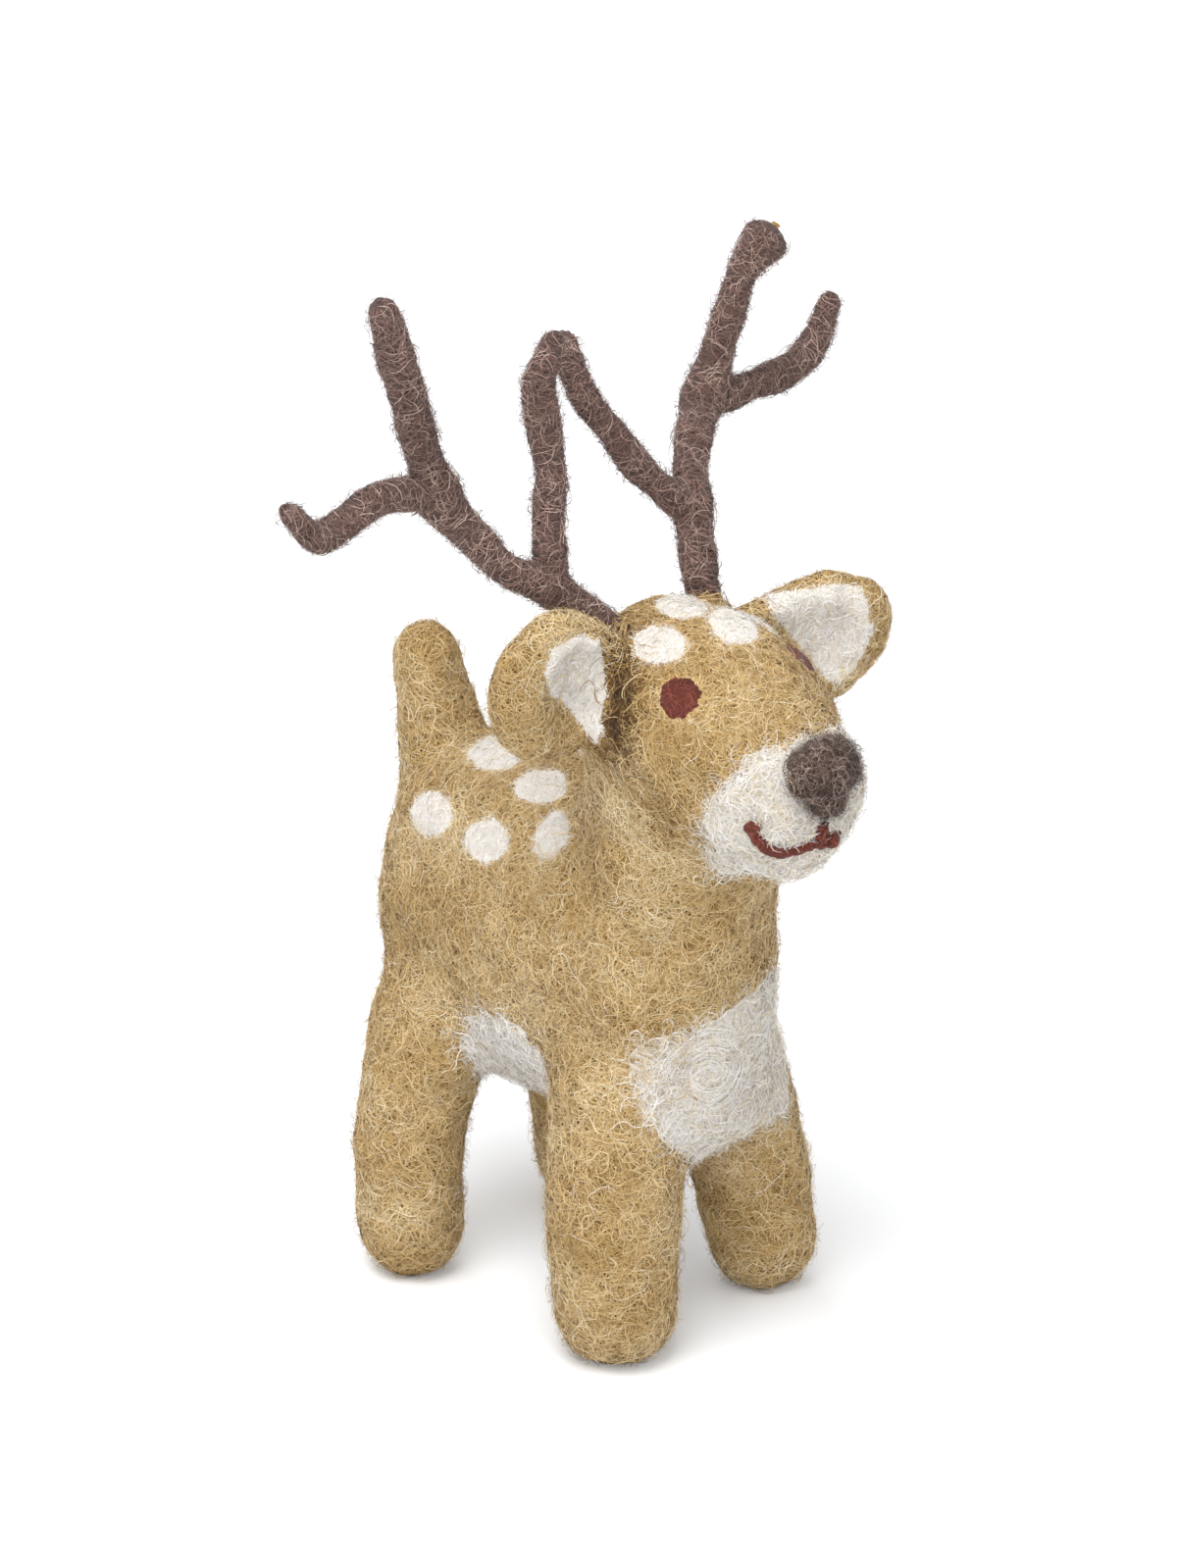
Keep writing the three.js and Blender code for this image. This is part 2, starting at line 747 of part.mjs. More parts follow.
// The yarn's loops round the main sleeve, as one unbroken strand with straight ends.
function bindingForm(route, fork, coreRadius, name) {
  const spine = new THREE.CatmullRomCurve3(route);
  const marks = spine.getLengths((route.length - 1) * bindingSteps);
  const total = marks.at(-1);
  const top = marks[fork * bindingSteps] - bindingBelowFork;
  const radius = coreRadius + seatGap + bindingStrand / 2;
  const onCoil = (turn) => {
    const at = (top - (bindingTurns - turn) * bindingPitch) / total;
    const along = spine.getTangentAt(at);
    const angle = 2 * Math.PI * turn;
    const u = back.clone().addScaledVector(along, -back.dot(along)).normalize();
    const v = new THREE.Vector3().crossVectors(along, u);
    const radial = u.multiplyScalar(Math.cos(angle)).addScaledVector(v, Math.sin(angle));
    return { point: spine.getPointAt(at).addScaledVector(radial, radius), radial };
  };
  const coil = Array.from({ length: bindingTurns * bindingSteps + 1 }, (_, k) => onCoil(k / bindingSteps));
  const points = coil.map((c) => c.point);
  const ways = points.map((_, k) =>
    points[Math.min(k + 1, points.length - 1)].clone().sub(points[Math.max(k - 1, 0)]).normalize(),
  );
  const straight = (k, run) => points[k].clone().addScaledVector(ways[k], run);
  const last = points.length - 1;
  const loops = points.map((p, k) =>
    ring(p, ways[k], coil[k].radial, bindingStrand / 2, bindingStrand / 2, bindingSides),
  );
  const endRing = (k, run) =>
    ring(straight(k, run), ways[k], coil[k].radial, bindingStrand / 2, bindingStrand / 2, bindingSides);
  loops.unshift(endRing(0, -bindingStrand));
  loops.push(endRing(last, bindingStrand));
  console.log(name + " least gap to itself " + leastGap(points).toFixed(2) + " mm");
  return skinOver(loops, straight(0, -bindingStrand), straight(last, bindingStrand));
}

function leastGap(points) {
  let least = Infinity;
  points.forEach((a, i) => {
    for (let j = i + bindingSteps / 2; j < points.length; j++) {
      least = Math.min(least, a.distanceTo(points[j]) - bindingStrand);
    }
  });
  return least;
}

function antlerPieces(antler) {
  const main = antlerRoute(antler, antler.mainShares);
  const inner = antlerRoute(antler, antler.innerShares);
  const outer = antlerRoute(antler, antler.outerShares);
  const mainEnd = antler.wireTipShows ? sleeveTipDome + wireShowing : -wireShortOfTip;
  const mainWire = (grow) => wireForm(main, wireInHead, mainEnd, 18, grow);
  const besideMain = -wireThickness - seatGap;
  const innerWire = (grow) => wireForm(inner, besideMain + grow, -wireShortOfTip, 9, grow);
  const outerWire = (grow) => wireForm(outer, besideMain + grow, -wireShortOfTip, 9, grow);
  const mainSleeve = (grow) => sleeveForm(main, sleeveThickness, antler.mainSizeShares, 18, grow);
  const tine = (route) => sleeveForm(route, tineThickness, antler.tineSizeShares, 9);
  const bores = mainWire(seatGap).add(innerWire(seatGap)).add(outerWire(seatGap));
  const fit = (body) => body.subtract(headForm(seatGap)).subtract(bores);
  const core = (fork) => (sleeveThickness * antler.mainSizeShares[fork]) / 2;
  const tag = "_" + antler.side;
  return {
    wires: [
      ["antler_wire_main" + tag, mainWire(0)],
      ["antler_wire_inner_tine" + tag, innerWire(0)],
      ["antler_wire_outer_tine" + tag, outerWire(0)],
    ],
    sleeves: [
      ["antler_yarn_main" + tag, fit(mainSleeve(0))],
      ["antler_yarn_inner_tine" + tag, fit(tine(inner).subtract(mainSleeve(seatGap)))],
      ["antler_yarn_outer_tine" + tag, fit(tine(outer).subtract(mainSleeve(seatGap)))],
    ],
    bindings: ["lower", "upper"].map((level) => {
      const fork = antler[level + "Fork"];
      const name = "antler_binding_" + level + tag;
      return [name, bindingForm(main, fork, core(fork), name)];
    }),
    bore: mainWire(seatGap),
    room: mainSleeve(3 * seatGap + bindingStrand).add(mainWire(seatGap)),
  };
}

// Assembly

const animal = new THREE.Group();

function place(name, body, material) {
  const mesh = new THREE.Mesh(geometryOf(body), material);
  mesh.name = name;
  animal.add(mesh);
}

const antlerSets = antlers.map(antlerPieces);
const torso = torsoForm();
const torsoCut = torsoForm(seatGap);
const headCut = headForm(seatGap);
const floor = ground();

place("torso", torso, materials.tan);

let head = headForm().subtract(torsoCut);
for (const set of antlerSets) {
  head = head.subtract(set.bore);
}
place("head", largest(head), materials.tan);

for (const leg of legs) {
  place(leg.name, largest(legForm(leg).subtract(torsoCut).subtract(floor)), materials.tan);
}
const legsCut = legs.map((leg) => legForm(leg, seatGap)).reduce((a, b) => a.add(b));

place("tail", largest(tailForm().subtract(torsoCut)), materials.tan);

const besideEars = antlerSets.reduce((room, set) => room.add(set.room), headCut.add(torsoCut));
for (const ear of ears) {
  const body = earForm(ear).subtract(earDish(ear)).subtract(besideEars);
  place("ear_" + ear.side, largest(body), materials.tan);
  const lining = earForm(ear, -liningSink).intersect(earDish(ear, -seatGap)).subtract(besideEars);
  place("ear_lining_" + ear.side, largest(lining), materials.white);
}

backSpots.forEach((spot, i) => {
  for (const [side, sign] of [
    ["left", 1],
    ["right", -1],
  ]) {
    const body = skin(torsoForm, backSpotCutter(spot, sign)).subtract(tailForm(seatGap)).subtract(headCut);
    place("back_spot_" + side + "_" + (i + 1), largest(body), materials.white);
  }
});

foreheadSpots.forEach((spot, i) => {
  place("forehead_spot_" + (i + 1), skin(headForm, foreheadSpotCutter(spot)), materials.white);
});

place("chest_patch", largest(skin(torsoForm, chestPatchCutter()).subtract(legsCut)), materials.white);
place("belly_patch", largest(skin(torsoForm, bellyPatchCutter()).subtract(legsCut)), materials.white);

const muzzle = skin(headForm, muzzleCutter()).subtract(torsoCut);
place("muzzle_patch", largest(muzzle), materials.white);

const aboveMuzzle = seatGap + skinThickness;
const noseBody = noseForm().subtract(headForm(aboveMuzzle + seatGap));
place("nose", largest(noseBody), materials.dark);
const mouth = skin(headForm, mouthCutter(), aboveMuzzle).subtract(noseForm(seatGap));
place("mouth", largest(mouth), materials.rust);
place("eye_left", skin(headForm, eyeCutter(1)), materials.rust);
place("eye_right", skin(headForm, eyeCutter(-1)), materials.rust);

for (const set of antlerSets) {
  set.wires.forEach(([name, body]) => place(name, body, materials.wire));
  set.sleeves.forEach(([name, body]) => place(name, largest(body), materials.yarn));
  set.bindings.forEach(([name, body]) => place(name, body, materials.yarn));
}

// The ground under the middle of the bounding box is the origin.
const box = new THREE.Box3().setFromObject(animal);
const middle = box.getCenter(new THREE.Vector3());
animal.position.set(-middle.x, -middle.y, -box.min.z);

const deer = new THREE.Group();
deer.add(animal);

export default deer;
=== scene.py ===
# %% [markdown]
# # A needle-felted deer with yarn-wound antlers
# The deer is packed tan wool, felted with a barbed needle until it is firm. White wool is felted in for its
# spots, chest, belly, muzzle and ears, dark wool for its nose, and its antlers are yarn wound round wire.
# The wool decides the look, so most of this lesson is about laying tens of thousands of real fibres on a
# soft, lumpy coat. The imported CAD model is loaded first, because every piece is fitted to its solids.

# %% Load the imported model
import math

import bmesh
import bpy
import numpy as np
from mathutils import Matrix, Vector, noise
from mathutils.bvhtree import BVHTree
from mathutils.kdtree import KDTree


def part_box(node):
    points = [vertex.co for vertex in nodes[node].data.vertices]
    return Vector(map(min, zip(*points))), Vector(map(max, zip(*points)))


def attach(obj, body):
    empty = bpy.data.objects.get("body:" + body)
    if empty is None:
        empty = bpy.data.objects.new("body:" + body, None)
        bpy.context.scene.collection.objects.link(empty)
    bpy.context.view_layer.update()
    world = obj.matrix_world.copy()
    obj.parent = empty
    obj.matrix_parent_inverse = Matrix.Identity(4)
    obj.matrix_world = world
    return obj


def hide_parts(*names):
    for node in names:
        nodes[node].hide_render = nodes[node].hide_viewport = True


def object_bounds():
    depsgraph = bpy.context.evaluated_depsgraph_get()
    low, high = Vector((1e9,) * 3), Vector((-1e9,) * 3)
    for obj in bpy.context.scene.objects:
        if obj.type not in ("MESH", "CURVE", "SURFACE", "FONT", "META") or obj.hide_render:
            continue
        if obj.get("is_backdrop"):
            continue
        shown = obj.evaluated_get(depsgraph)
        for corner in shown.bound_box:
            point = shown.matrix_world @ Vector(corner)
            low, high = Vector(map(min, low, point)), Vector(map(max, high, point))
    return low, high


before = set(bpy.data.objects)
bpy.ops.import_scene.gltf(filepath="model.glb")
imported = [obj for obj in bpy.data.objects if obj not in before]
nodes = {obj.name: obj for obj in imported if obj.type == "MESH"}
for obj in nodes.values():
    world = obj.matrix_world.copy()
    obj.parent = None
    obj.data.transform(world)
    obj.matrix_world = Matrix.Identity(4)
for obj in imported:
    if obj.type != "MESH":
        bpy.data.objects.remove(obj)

cad_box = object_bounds()
MM = 0.001


def show(obj):
    bpy.context.scene.collection.objects.link(obj)


print("CAD nodes:", len(nodes), "box:", [tuple(round(x, 4) for x in c) for c in cad_box])

# %% [markdown]
# The photograph was taken from in front and to the deer's right, a little above it, with a long lens.
# A camera is placed by three directions: right, up, and back from the object. With a long lens and a
# far camera the legs stay almost parallel, as they do in the photograph.

# %% Camera
azimuth, elevation = math.radians(-44.4), math.radians(24.5)
level = math.cos(elevation)
cam_right = Vector((math.cos(azimuth), math.sin(azimuth), 0))
cam_back = Vector((math.sin(azimuth) * level, -math.cos(azimuth) * level, math.sin(elevation)))
cam_up = cam_back.cross(cam_right)
look_at = Vector((-1.19, 6.78, 70.0)) * MM + cam_up * 0.32 * MM
LENS_MM, SENSOR_MM, METRES_AWAY = 268, 36, 1.5
camera_data = bpy.data.cameras.new("camera")
camera_data.sensor_width = SENSOR_MM
camera_data.lens = LENS_MM
camera_data.clip_start = 0.1
camera = bpy.data.objects.new("camera", camera_data)
turn = Matrix((cam_right, cam_up, cam_back)).transposed().to_4x4()
camera.matrix_world = Matrix.Translation(look_at + cam_back * METRES_AWAY) @ turn
show(camera)
bpy.context.scene.camera = camera
bpy.context.scene.view_settings.view_transform = "Standard"
print("camera at", tuple(round(x, 3) for x in camera.matrix_world.translation))

# %% [markdown]
# Shaders are built from nodes. These helpers make a node and fill its inputs. An input takes a number or
# a colour as it is, and another node's output by a link.

# %% Shader helpers
def new_node(nt, kind, inputs=None, **settings):
    n = nt.nodes.new("ShaderNode" + kind)
    for name, value in settings.items():
        setattr(n, name, value)
    for name, value in (inputs or {}).items():
        if isinstance(value, (int, float, tuple)):
            n.inputs[name].default_value = value
        else:
            nt.links.new(value, n.inputs[name])
    return n


def math_node(nt, operation, a, b, clamp=False):
    return new_node(nt, "Math", {0: a, 1: b}, operation=operation, use_clamp=clamp).outputs[0]


def noise_node(nt, kind, place, scale, detail, rough, distortion=0.0):
    sizes = dict(Scale=scale, Detail=detail, Roughness=rough, Distortion=distortion)
    return new_node(nt, "TexNoise", dict(sizes, Vector=place), noise_type=kind).outputs["Fac"]


def mix_colours(nt, factor, a, b):
    n = new_node(nt, "Mix", data_type="RGBA")
    for name, kind, value in (("Factor", "VALUE", factor), ("A", "RGBA", a), ("B", "RGBA", b)):
        place = [s for s in n.inputs if s.name == name and s.type == kind][0]
        if isinstance(value, tuple):
            place.default_value = value
        else:
            nt.links.new(value, place)
    return [s for s in n.outputs if s.type == "RGBA"][0]


def when_looked_at(nt, otherwise, looked_at):
    """One value for rays from the camera, straight or by a reflection or glass, and one for all others."""
    path = new_node(nt, "LightPath")
    seen = path.outputs["Is Camera Ray"]
    for way in ("Is Glossy Ray", "Is Transmission Ray"):
        seen = math_node(nt, "MAXIMUM", seen, path.outputs[way])
    return new_node(nt, "MapRange", {"Value": seen, "To Min": otherwise, "To Max": looked_at}).outputs[0]


print("shader helpers:", [f.__name__ for f in (new_node, math_node, noise_node, mix_colours, when_looked_at)])

# %% [markdown]
# Small product pictures are lit by a big soft source above and a white room all round. The floor is
# pale. Light Path lets the camera see it nearly white, while the light that it throws back on the deer
# stays that of a plain pale floor, so the soft shadow under the feet survives.

# %% Light, floor and backdrop
def area_light(name, place, size, power):
    data = bpy.data.lights.new(name, "AREA")
    data.shape, data.size, data.energy = "DISK", size, power
    lamp = bpy.data.objects.new(name, data)
    lamp.location = place
    lamp.rotation_euler = (Vector((0, 0, 0.06)) - Vector(place)).to_track_quat("-Z", "Y").to_euler()
    show(lamp)


area_light("key_light", (-0.34, -0.1, 1.0), 0.6, 6.4)
area_light("fill_light", (-0.75, -0.55, 0.8), 1.4, 4.0)
area_light("rim_light", (0.35, 0.8, 0.8), 0.6, 2.2)
print("lights:", [light.name for light in bpy.data.lights])

world = bpy.data.worlds.new("white_room")
bpy.context.scene.world = world
world.use_nodes = True
room = world.node_tree
background = room.nodes["Background"]
background.inputs["Color"].default_value = (1, 1, 1, 1)
room.links.new(when_looked_at(room, 0.7, 1.0), background.inputs["Strength"])

floor_mesh = bpy.data.meshes.new("floor")
half = 3.0
corners = [(-half, -half, 0), (half, -half, 0), (half, half, 0), (-half, half, 0)]
floor_mesh.from_pydata(corners, [], [(0, 1, 2, 3)])
floor = bpy.data.objects.new("floor", floor_mesh)
show(floor)
floor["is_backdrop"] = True
floor_paint = bpy.data.materials.new("pale_floor")
floor_paint.use_nodes = True
ground = floor_paint.node_tree
board = ground.nodes["Principled BSDF"]
board.inputs["Roughness"].default_value = 0.9
board.inputs["Emission Color"].default_value = (0.82, 0.96, 1.12, 1)
ground.links.new(when_looked_at(ground, 0.92, 0.88), board.inputs["Base Color"])
ground.links.new(when_looked_at(ground, 0.0, 0.12), board.inputs["Emission Strength"])
floor_mesh.materials.append(floor_paint)
print("the floor is", 2 * half, "m wide, the room's light is", background.inputs["Color"].default_value[0])

# %% [markdown]
# Felt seen close up is a mat of crossing curly hairs: pale where they catch the light, dark in the gaps.
# One shader node group draws that mat for every colour of wool. Ridged noise gives thin curling lines,
# two sizes of it cross each other, and a slow noise makes the thicker and thinner places.
# The group gives a mask for the hairs, a mask for the blotches and a height for the bump.

# %% Node group: felted mat
def socket(group, name, way, value=None):
    made = group.interface.new_socket(name=name, in_out=way, socket_type="NodeSocketFloat")
    if value is not None:
        made.default_value = value


felt_mat = bpy.data.node_groups.new("felted_mat", "ShaderNodeTree")
socket(felt_mat, "Fineness", "INPUT", 1.0)
socket(felt_mat, "Hairs", "OUTPUT")
socket(felt_mat, "Blotches", "OUTPUT")
socket(felt_mat, "Height", "OUTPUT")
g_in, g_out = felt_mat.nodes.new("NodeGroupInput"), felt_mat.nodes.new("NodeGroupOutput")
g_place = new_node(felt_mat, "TexCoord").outputs["Object"]
g_ends = {0: g_place, "Scale": g_in.outputs["Fineness"]}
g_size = new_node(felt_mat, "VectorMath", g_ends, operation="SCALE").outputs[0]
g_fine = noise_node(felt_mat, "RIDGED_MULTIFRACTAL", g_size, 1150, 2.0, 0.62, 1.3)
g_coarse = noise_node(felt_mat, "RIDGED_MULTIFRACTAL", g_size, 520, 3.0, 0.6, 1.9)
g_slow = noise_node(felt_mat, "FBM", g_size, 190, 3.0, 0.55, 0.6)
g_lines = math_node(felt_mat, "MAXIMUM", g_fine, g_coarse)
g_hairs = math_node(felt_mat, "MULTIPLY", math_node(felt_mat, "SUBTRACT", g_lines, 0.42), 1.25, True)
felt_mat.links.new(g_hairs, g_out.inputs["Hairs"])
g_thick = math_node(felt_mat, "SUBTRACT", g_slow, 0.32)
g_blot = math_node(felt_mat, "MULTIPLY", g_thick, 2.4, True)
felt_mat.links.new(g_blot, g_out.inputs["Blotches"])
g_sum = math_node(felt_mat, "ADD", g_hairs, math_node(felt_mat, "MULTIPLY", g_blot, 0.6))
felt_mat.links.new(g_sum, g_out.inputs["Height"])
print("felted_mat has", len(felt_mat.nodes), "nodes")

# %% [markdown]
# Handling wears felt: the proud places are paler and smoother. The creases get painted shade, a darker
# colour where shade falls. A second group finds both from the shape itself. Geometry's Pointiness is
# high on edges and low in creases.

# %% Node group: painted crease shade and edge wear
shade_and_wear = bpy.data.node_groups.new("crease_shade_and_edge_wear", "ShaderNodeTree")
socket(shade_and_wear, "Crease from", "INPUT", 0.47)
socket(shade_and_wear, "Edge from", "INPUT", 0.53)
socket(shade_and_wear, "Creases", "OUTPUT")
socket(shade_and_wear, "Edges", "OUTPUT")
w_in, w_out = shade_and_wear.nodes.new("NodeGroupInput"), shade_and_wear.nodes.new("NodeGroupOutput")
proud = new_node(shade_and_wear, "NewGeometry").outputs["Pointiness"]
# Creases: painted shade, strongest where Pointiness is lowest.
w_low = math_node(shade_and_wear, "SUBTRACT", w_in.outputs["Crease from"], proud)
shade_and_wear.links.new(math_node(shade_and_wear, "MULTIPLY", w_low, 9.0, True), w_out.inputs["Creases"])
w_high = math_node(shade_and_wear, "SUBTRACT", proud, w_in.outputs["Edge from"])
shade_and_wear.links.new(math_node(shade_and_wear, "MULTIPLY", w_high, 8.0, True), w_out.inputs["Edges"])
print("crease_shade_and_edge_wear has", len(shade_and_wear.nodes), "nodes")

# %% [markdown]
# Two kinds of material come from these groups. A felt is for a coat or a patch: the hairs' mask mixes a
# gap colour and a hair colour, blotches, edge wear and painted crease shade shift it, and the height goes to
# a bump. A fibre colour is for the loose fibres: each fibre carries a random number, and a ramp turns that
# into its own tint.
# slot_of lists, for each fibre colour, the slot name of the felt of its colour.

# %% Material makers
def rgb(r, g, b):
    """An sRGB colour of 0 to 255 as the linear colour that a shader uses."""
    return tuple(((c / 255 + 0.055) / 1.055) ** 2.4 if c > 10 else c / 3295 for c in (r, g, b)) + (1,)


def new_material(name, roughness, sheen):
    m = bpy.data.materials.new(name)
    m.use_nodes = True
    skin = m.node_tree.nodes["Principled BSDF"]
    soft = ("Sheen Weight", sheen), ("Sheen Roughness", 0.6), ("Specular IOR Level", 0.25)
    for name, value in (("Roughness", roughness), *soft):
        skin.inputs[name].default_value = value
    return m, m.node_tree, skin


def felt(name, gap, hair, blotch, fineness, bump, blotch_share=0.45):
    gap, hair, blotch = rgb(*gap), rgb(*hair), rgb(*blotch)
    # Both crease colours are painted shade: darker copies of the gap colour, for hollows and for the folds
    # marked on the mesh.
    hollow_shade_colour, fold_shade_colour = (tuple(c * share for c in gap[:3]) + (1,) for share in (0.45, 0.4))
    m, nt, skin = new_material(name, 0.9, 0.15)
    mat = new_node(nt, "Group", {"Fineness": fineness}, node_tree=felt_mat).outputs
    wear = new_node(nt, "Group", node_tree=shade_and_wear).outputs
    fold_shade_mask = new_node(nt, "Attribute", attribute_name="crease_shade").outputs["Fac"]
    tint = gap
    for factor, share, colour in (
        (mat["Hairs"], 1, hair),
        (mat["Blotches"], blotch_share, blotch),
        (wear["Creases"], 0.6, hollow_shade_colour),
        (fold_shade_mask, 1, fold_shade_colour),
        (wear["Edges"], 0.25, hair),
    ):
        factor = factor if share == 1 else math_node(nt, "MULTIPLY", factor, share)
        tint = mix_colours(nt, factor, tint, colour)
    bumps = new_node(nt, "Bump", {"Strength": bump, "Distance": 0.3 * MM, "Height": mat["Height"]})
    nt.links.new(tint, skin.inputs["Base Color"])
    nt.links.new(bumps.outputs[0], skin.inputs["Normal"])
    return m


def fibre_colour(name, *tints):
    m, nt, skin = new_material(name, 0.7, 0.1)
    own = new_node(nt, "Attribute", attribute_name="tint").outputs["Fac"]
    ramp = new_node(nt, "ValToRGB", {"Fac": own})
    marks = ramp.color_ramp.elements
    while len(marks) < len(tints):
        marks.new(0.5)
    for i, colour in enumerate(tints):
        marks[i].position = i / (len(tints) - 1)
        marks[i].color = rgb(*colour)
    nt.links.new(ramp.outputs["Color"], skin.inputs["Base Color"])
    return m


tan_felt = felt("tan_felt", (102, 72, 31), (168, 131, 74), (137, 100, 47), 1.3, 0.4)
white_felt = felt("white_felt", (228, 221, 211), (252, 249, 245), (243, 238, 231), 1.3, 0.16, 0.3)
dark_felt = felt("dark_felt", (42, 29, 24), (100, 78, 69), (70, 52, 46), 1.4, 0.5)
rust_felt = felt("rust_felt", (80, 32, 22), (128, 62, 46), (104, 45, 33), 1.6, 0.5)
tans = (74, 48, 24), (143, 106, 53), (180, 144, 85), (214, 183, 126), (242, 225, 187)
tan_fibre = fibre_colour("tan_fibre", *tans)
white_fibre = fibre_colour("white_fibre", (222, 214, 202), (247, 243, 237), (254, 253, 251))
pale_fibre = fibre_colour("pale_fibre", (214, 192, 150), (232, 216, 184), (246, 238, 222))
dark_fibre = fibre_colour("dark_fibre", (36, 25, 20), (70, 52, 44), (120, 97, 87), (204, 182, 170))
rust_fibre = fibre_colour("rust_fibre", (98, 40, 28), (124, 57, 42), (148, 82, 64))
slot_of = {
    tan_fibre.name: "tan_felt", white_fibre.name: "white_wool", pale_fibre.name: "white_wool",
    dark_fibre.name: "dark_wool", rust_fibre.name: "rust_wool", "yarn_fibre": "brown_yarn",
}
print("materials:", [m.name for m in bpy.data.materials])

# %% [markdown]
# Meshes of this size are filled from arrays, not face by face. This helper makes an object from points
# and faces, gives it its own tint values, and hangs it on the deer's one body.

# %% Mesh helper
def add_values(mesh, name, values):
    mesh.attributes.new(name, "FLOAT", "POINT").data.foreach_set("value", np.asarray(values, np.float32))


def make_piece(name, points, faces, material, slot, tint=None, replaced=()):
    mesh = bpy.data.meshes.new(name)
    points = np.asarray(points, np.float32)
    faces = np.asarray(faces, np.int32)
    mesh.vertices.add(len(points))
    mesh.vertices.foreach_set("co", points.ravel())
    mesh.loops.add(faces.size)
    mesh.loops.foreach_set("vertex_index", faces.ravel())
    mesh.polygons.add(len(faces))
    mesh.polygons.foreach_set("loop_start", np.arange(len(faces), dtype=np.int32) * faces.shape[1])
    mesh.polygons.foreach_set("use_smooth", np.full(len(faces), True))
    mesh.update(calc_edges=True)
    if tint is not None:
        add_values(mesh, "tint", tint)
    mesh.materials.append(material)
    piece = bpy.data.objects.new(name, mesh)
    show(piece)
    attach(piece, "root")
    if replaced:
        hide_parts(*replaced)
    return piece


def points_of(obj):
    co = np.empty(len(obj.data.vertices) * 3, np.float32)
    obj.data.vertices.foreach_get("co", co)
    return co.reshape(-1, 3).astype(float)


def triangles_of(obj):
    obj.data.calc_loop_triangles()
    tri = np.empty(len(obj.data.loop_triangles) * 3, np.int32)
    obj.data.loop_triangles.foreach_get("vertices", tri)
    return tri.reshape(-1, 3)


def quads_of(obj):
    return np.array([tuple(f.vertices) for f in obj.data.polygons if len(f.vertices) == 4])


def joined(points, faces):
    """Several meshes' points and faces as one mesh's."""
    starts = np.cumsum([0] + [len(p) for p in points[:-1]])
    return np.concatenate(points), np.concatenate([f + s for f, s in zip(faces, starts)])


def search_tree(points, faces):
    return BVHTree.FromPolygons(points.tolist(), faces.tolist())


def tree_of(*objects):
    """One search tree over several meshes, to find the nearest point on any of them."""
    return search_tree(*joined([points_of(o) for o in objects], [triangles_of(o) for o in objects]))


def noise_at(points, size, offset=(0, 0, 0)):
    """Slow noise from about -1 to 1 at each point, with lumps of about this size."""
    return np.array([noise.noise(Vector(p) / size + Vector(offset)) for p in points.tolist()])


print("a tree over the torso finds", tree_of(nodes["torso"]).find_nearest((0, 0, 0))[3], "m to the origin")

# %% [markdown]
# The coat. On the real deer the legs, neck, tail and ears are felted into the body, so the wool runs
# over the joins without a seam. A cloth simulation suits a cushion, but packed wool doesn't hang or
# billow. The solids are swollen a little until they touch, remeshed into one skin, and relaxed, which
# rounds the joins as the needle does. The antlers' bores in the head are plugged with a ball first.

# %% Join the felt solids into one skin
felt_nodes = ["torso", "head", "tail", "ear_left", "ear_right"]
felt_nodes += ["leg_front_left", "leg_front_right", "leg_rear_left", "leg_rear_right"]
voxel = 0.75 * MM
swell, ear_swell = 0.22 * MM, -0.2 * MM
lump_points, lump_faces = [], []
for name in felt_nodes:
    normals = np.array([v.normal for v in nodes[name].data.vertices])
    lump_faces.append(triangles_of(nodes[name]))
    lump_points.append(points_of(nodes[name]) + normals * (ear_swell if name.startswith("ear") else swell))
plug = bpy.data.meshes.new("plug")
plug_radius = 3.0 * MM
balls = bmesh.new()
for side in ("left", "right"):
    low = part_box("antler_yarn_main_" + side)
    wire = points_of(nodes["antler_wire_main_" + side])
    foot = wire[wire[:, 2] < low[0].z + 0.5 * MM].mean(0)
    at_foot = Matrix.Translation(Vector(foot))
    bmesh.ops.create_icosphere(balls, subdivisions=2, radius=plug_radius, matrix=at_foot)
balls.to_mesh(plug)
balls.free()
plug_object = bpy.data.objects.new("plug", plug)
lump_faces.append(triangles_of(plug_object))
lump_points.append(points_of(plug_object))
bpy.data.objects.remove(plug_object)

coat_mesh = bpy.data.meshes.new("coat")
skin_points, skin_faces = joined(lump_points, lump_faces)
coat_mesh.from_pydata(skin_points.tolist(), [], skin_faces.tolist())
coat = bpy.data.objects.new("coat", coat_mesh)
show(coat)


def add_modifier(obj, kind, **settings):
    made = obj.modifiers.new(kind.lower(), kind)
    for name, value in settings.items():
        setattr(made, name, value)


def apply_modifiers(obj):
    graph = bpy.context.evaluated_depsgraph_get()
    done = bpy.data.meshes.new_from_object(obj.evaluated_get(graph))
    obj.modifiers.clear()
    obj.data = done


add_modifier(coat, "REMESH", mode="VOXEL", voxel_size=voxel)
apply_modifiers(coat)
node_trees = [tree_of(nodes[n]) for n in felt_nodes]
reach = np.array([[t.find_nearest(p)[3] for t in node_trees] for p in points_of(coat).tolist()]) / MM
print("coat:", len(coat.data.vertices), "points")

# %% [markdown]
# Where the head meets the neck, and a leg the body, the real wool runs on without a groove. Smoothing
# fills a groove, so these joints get far more of it than the rest. The ears keep their deep creases.

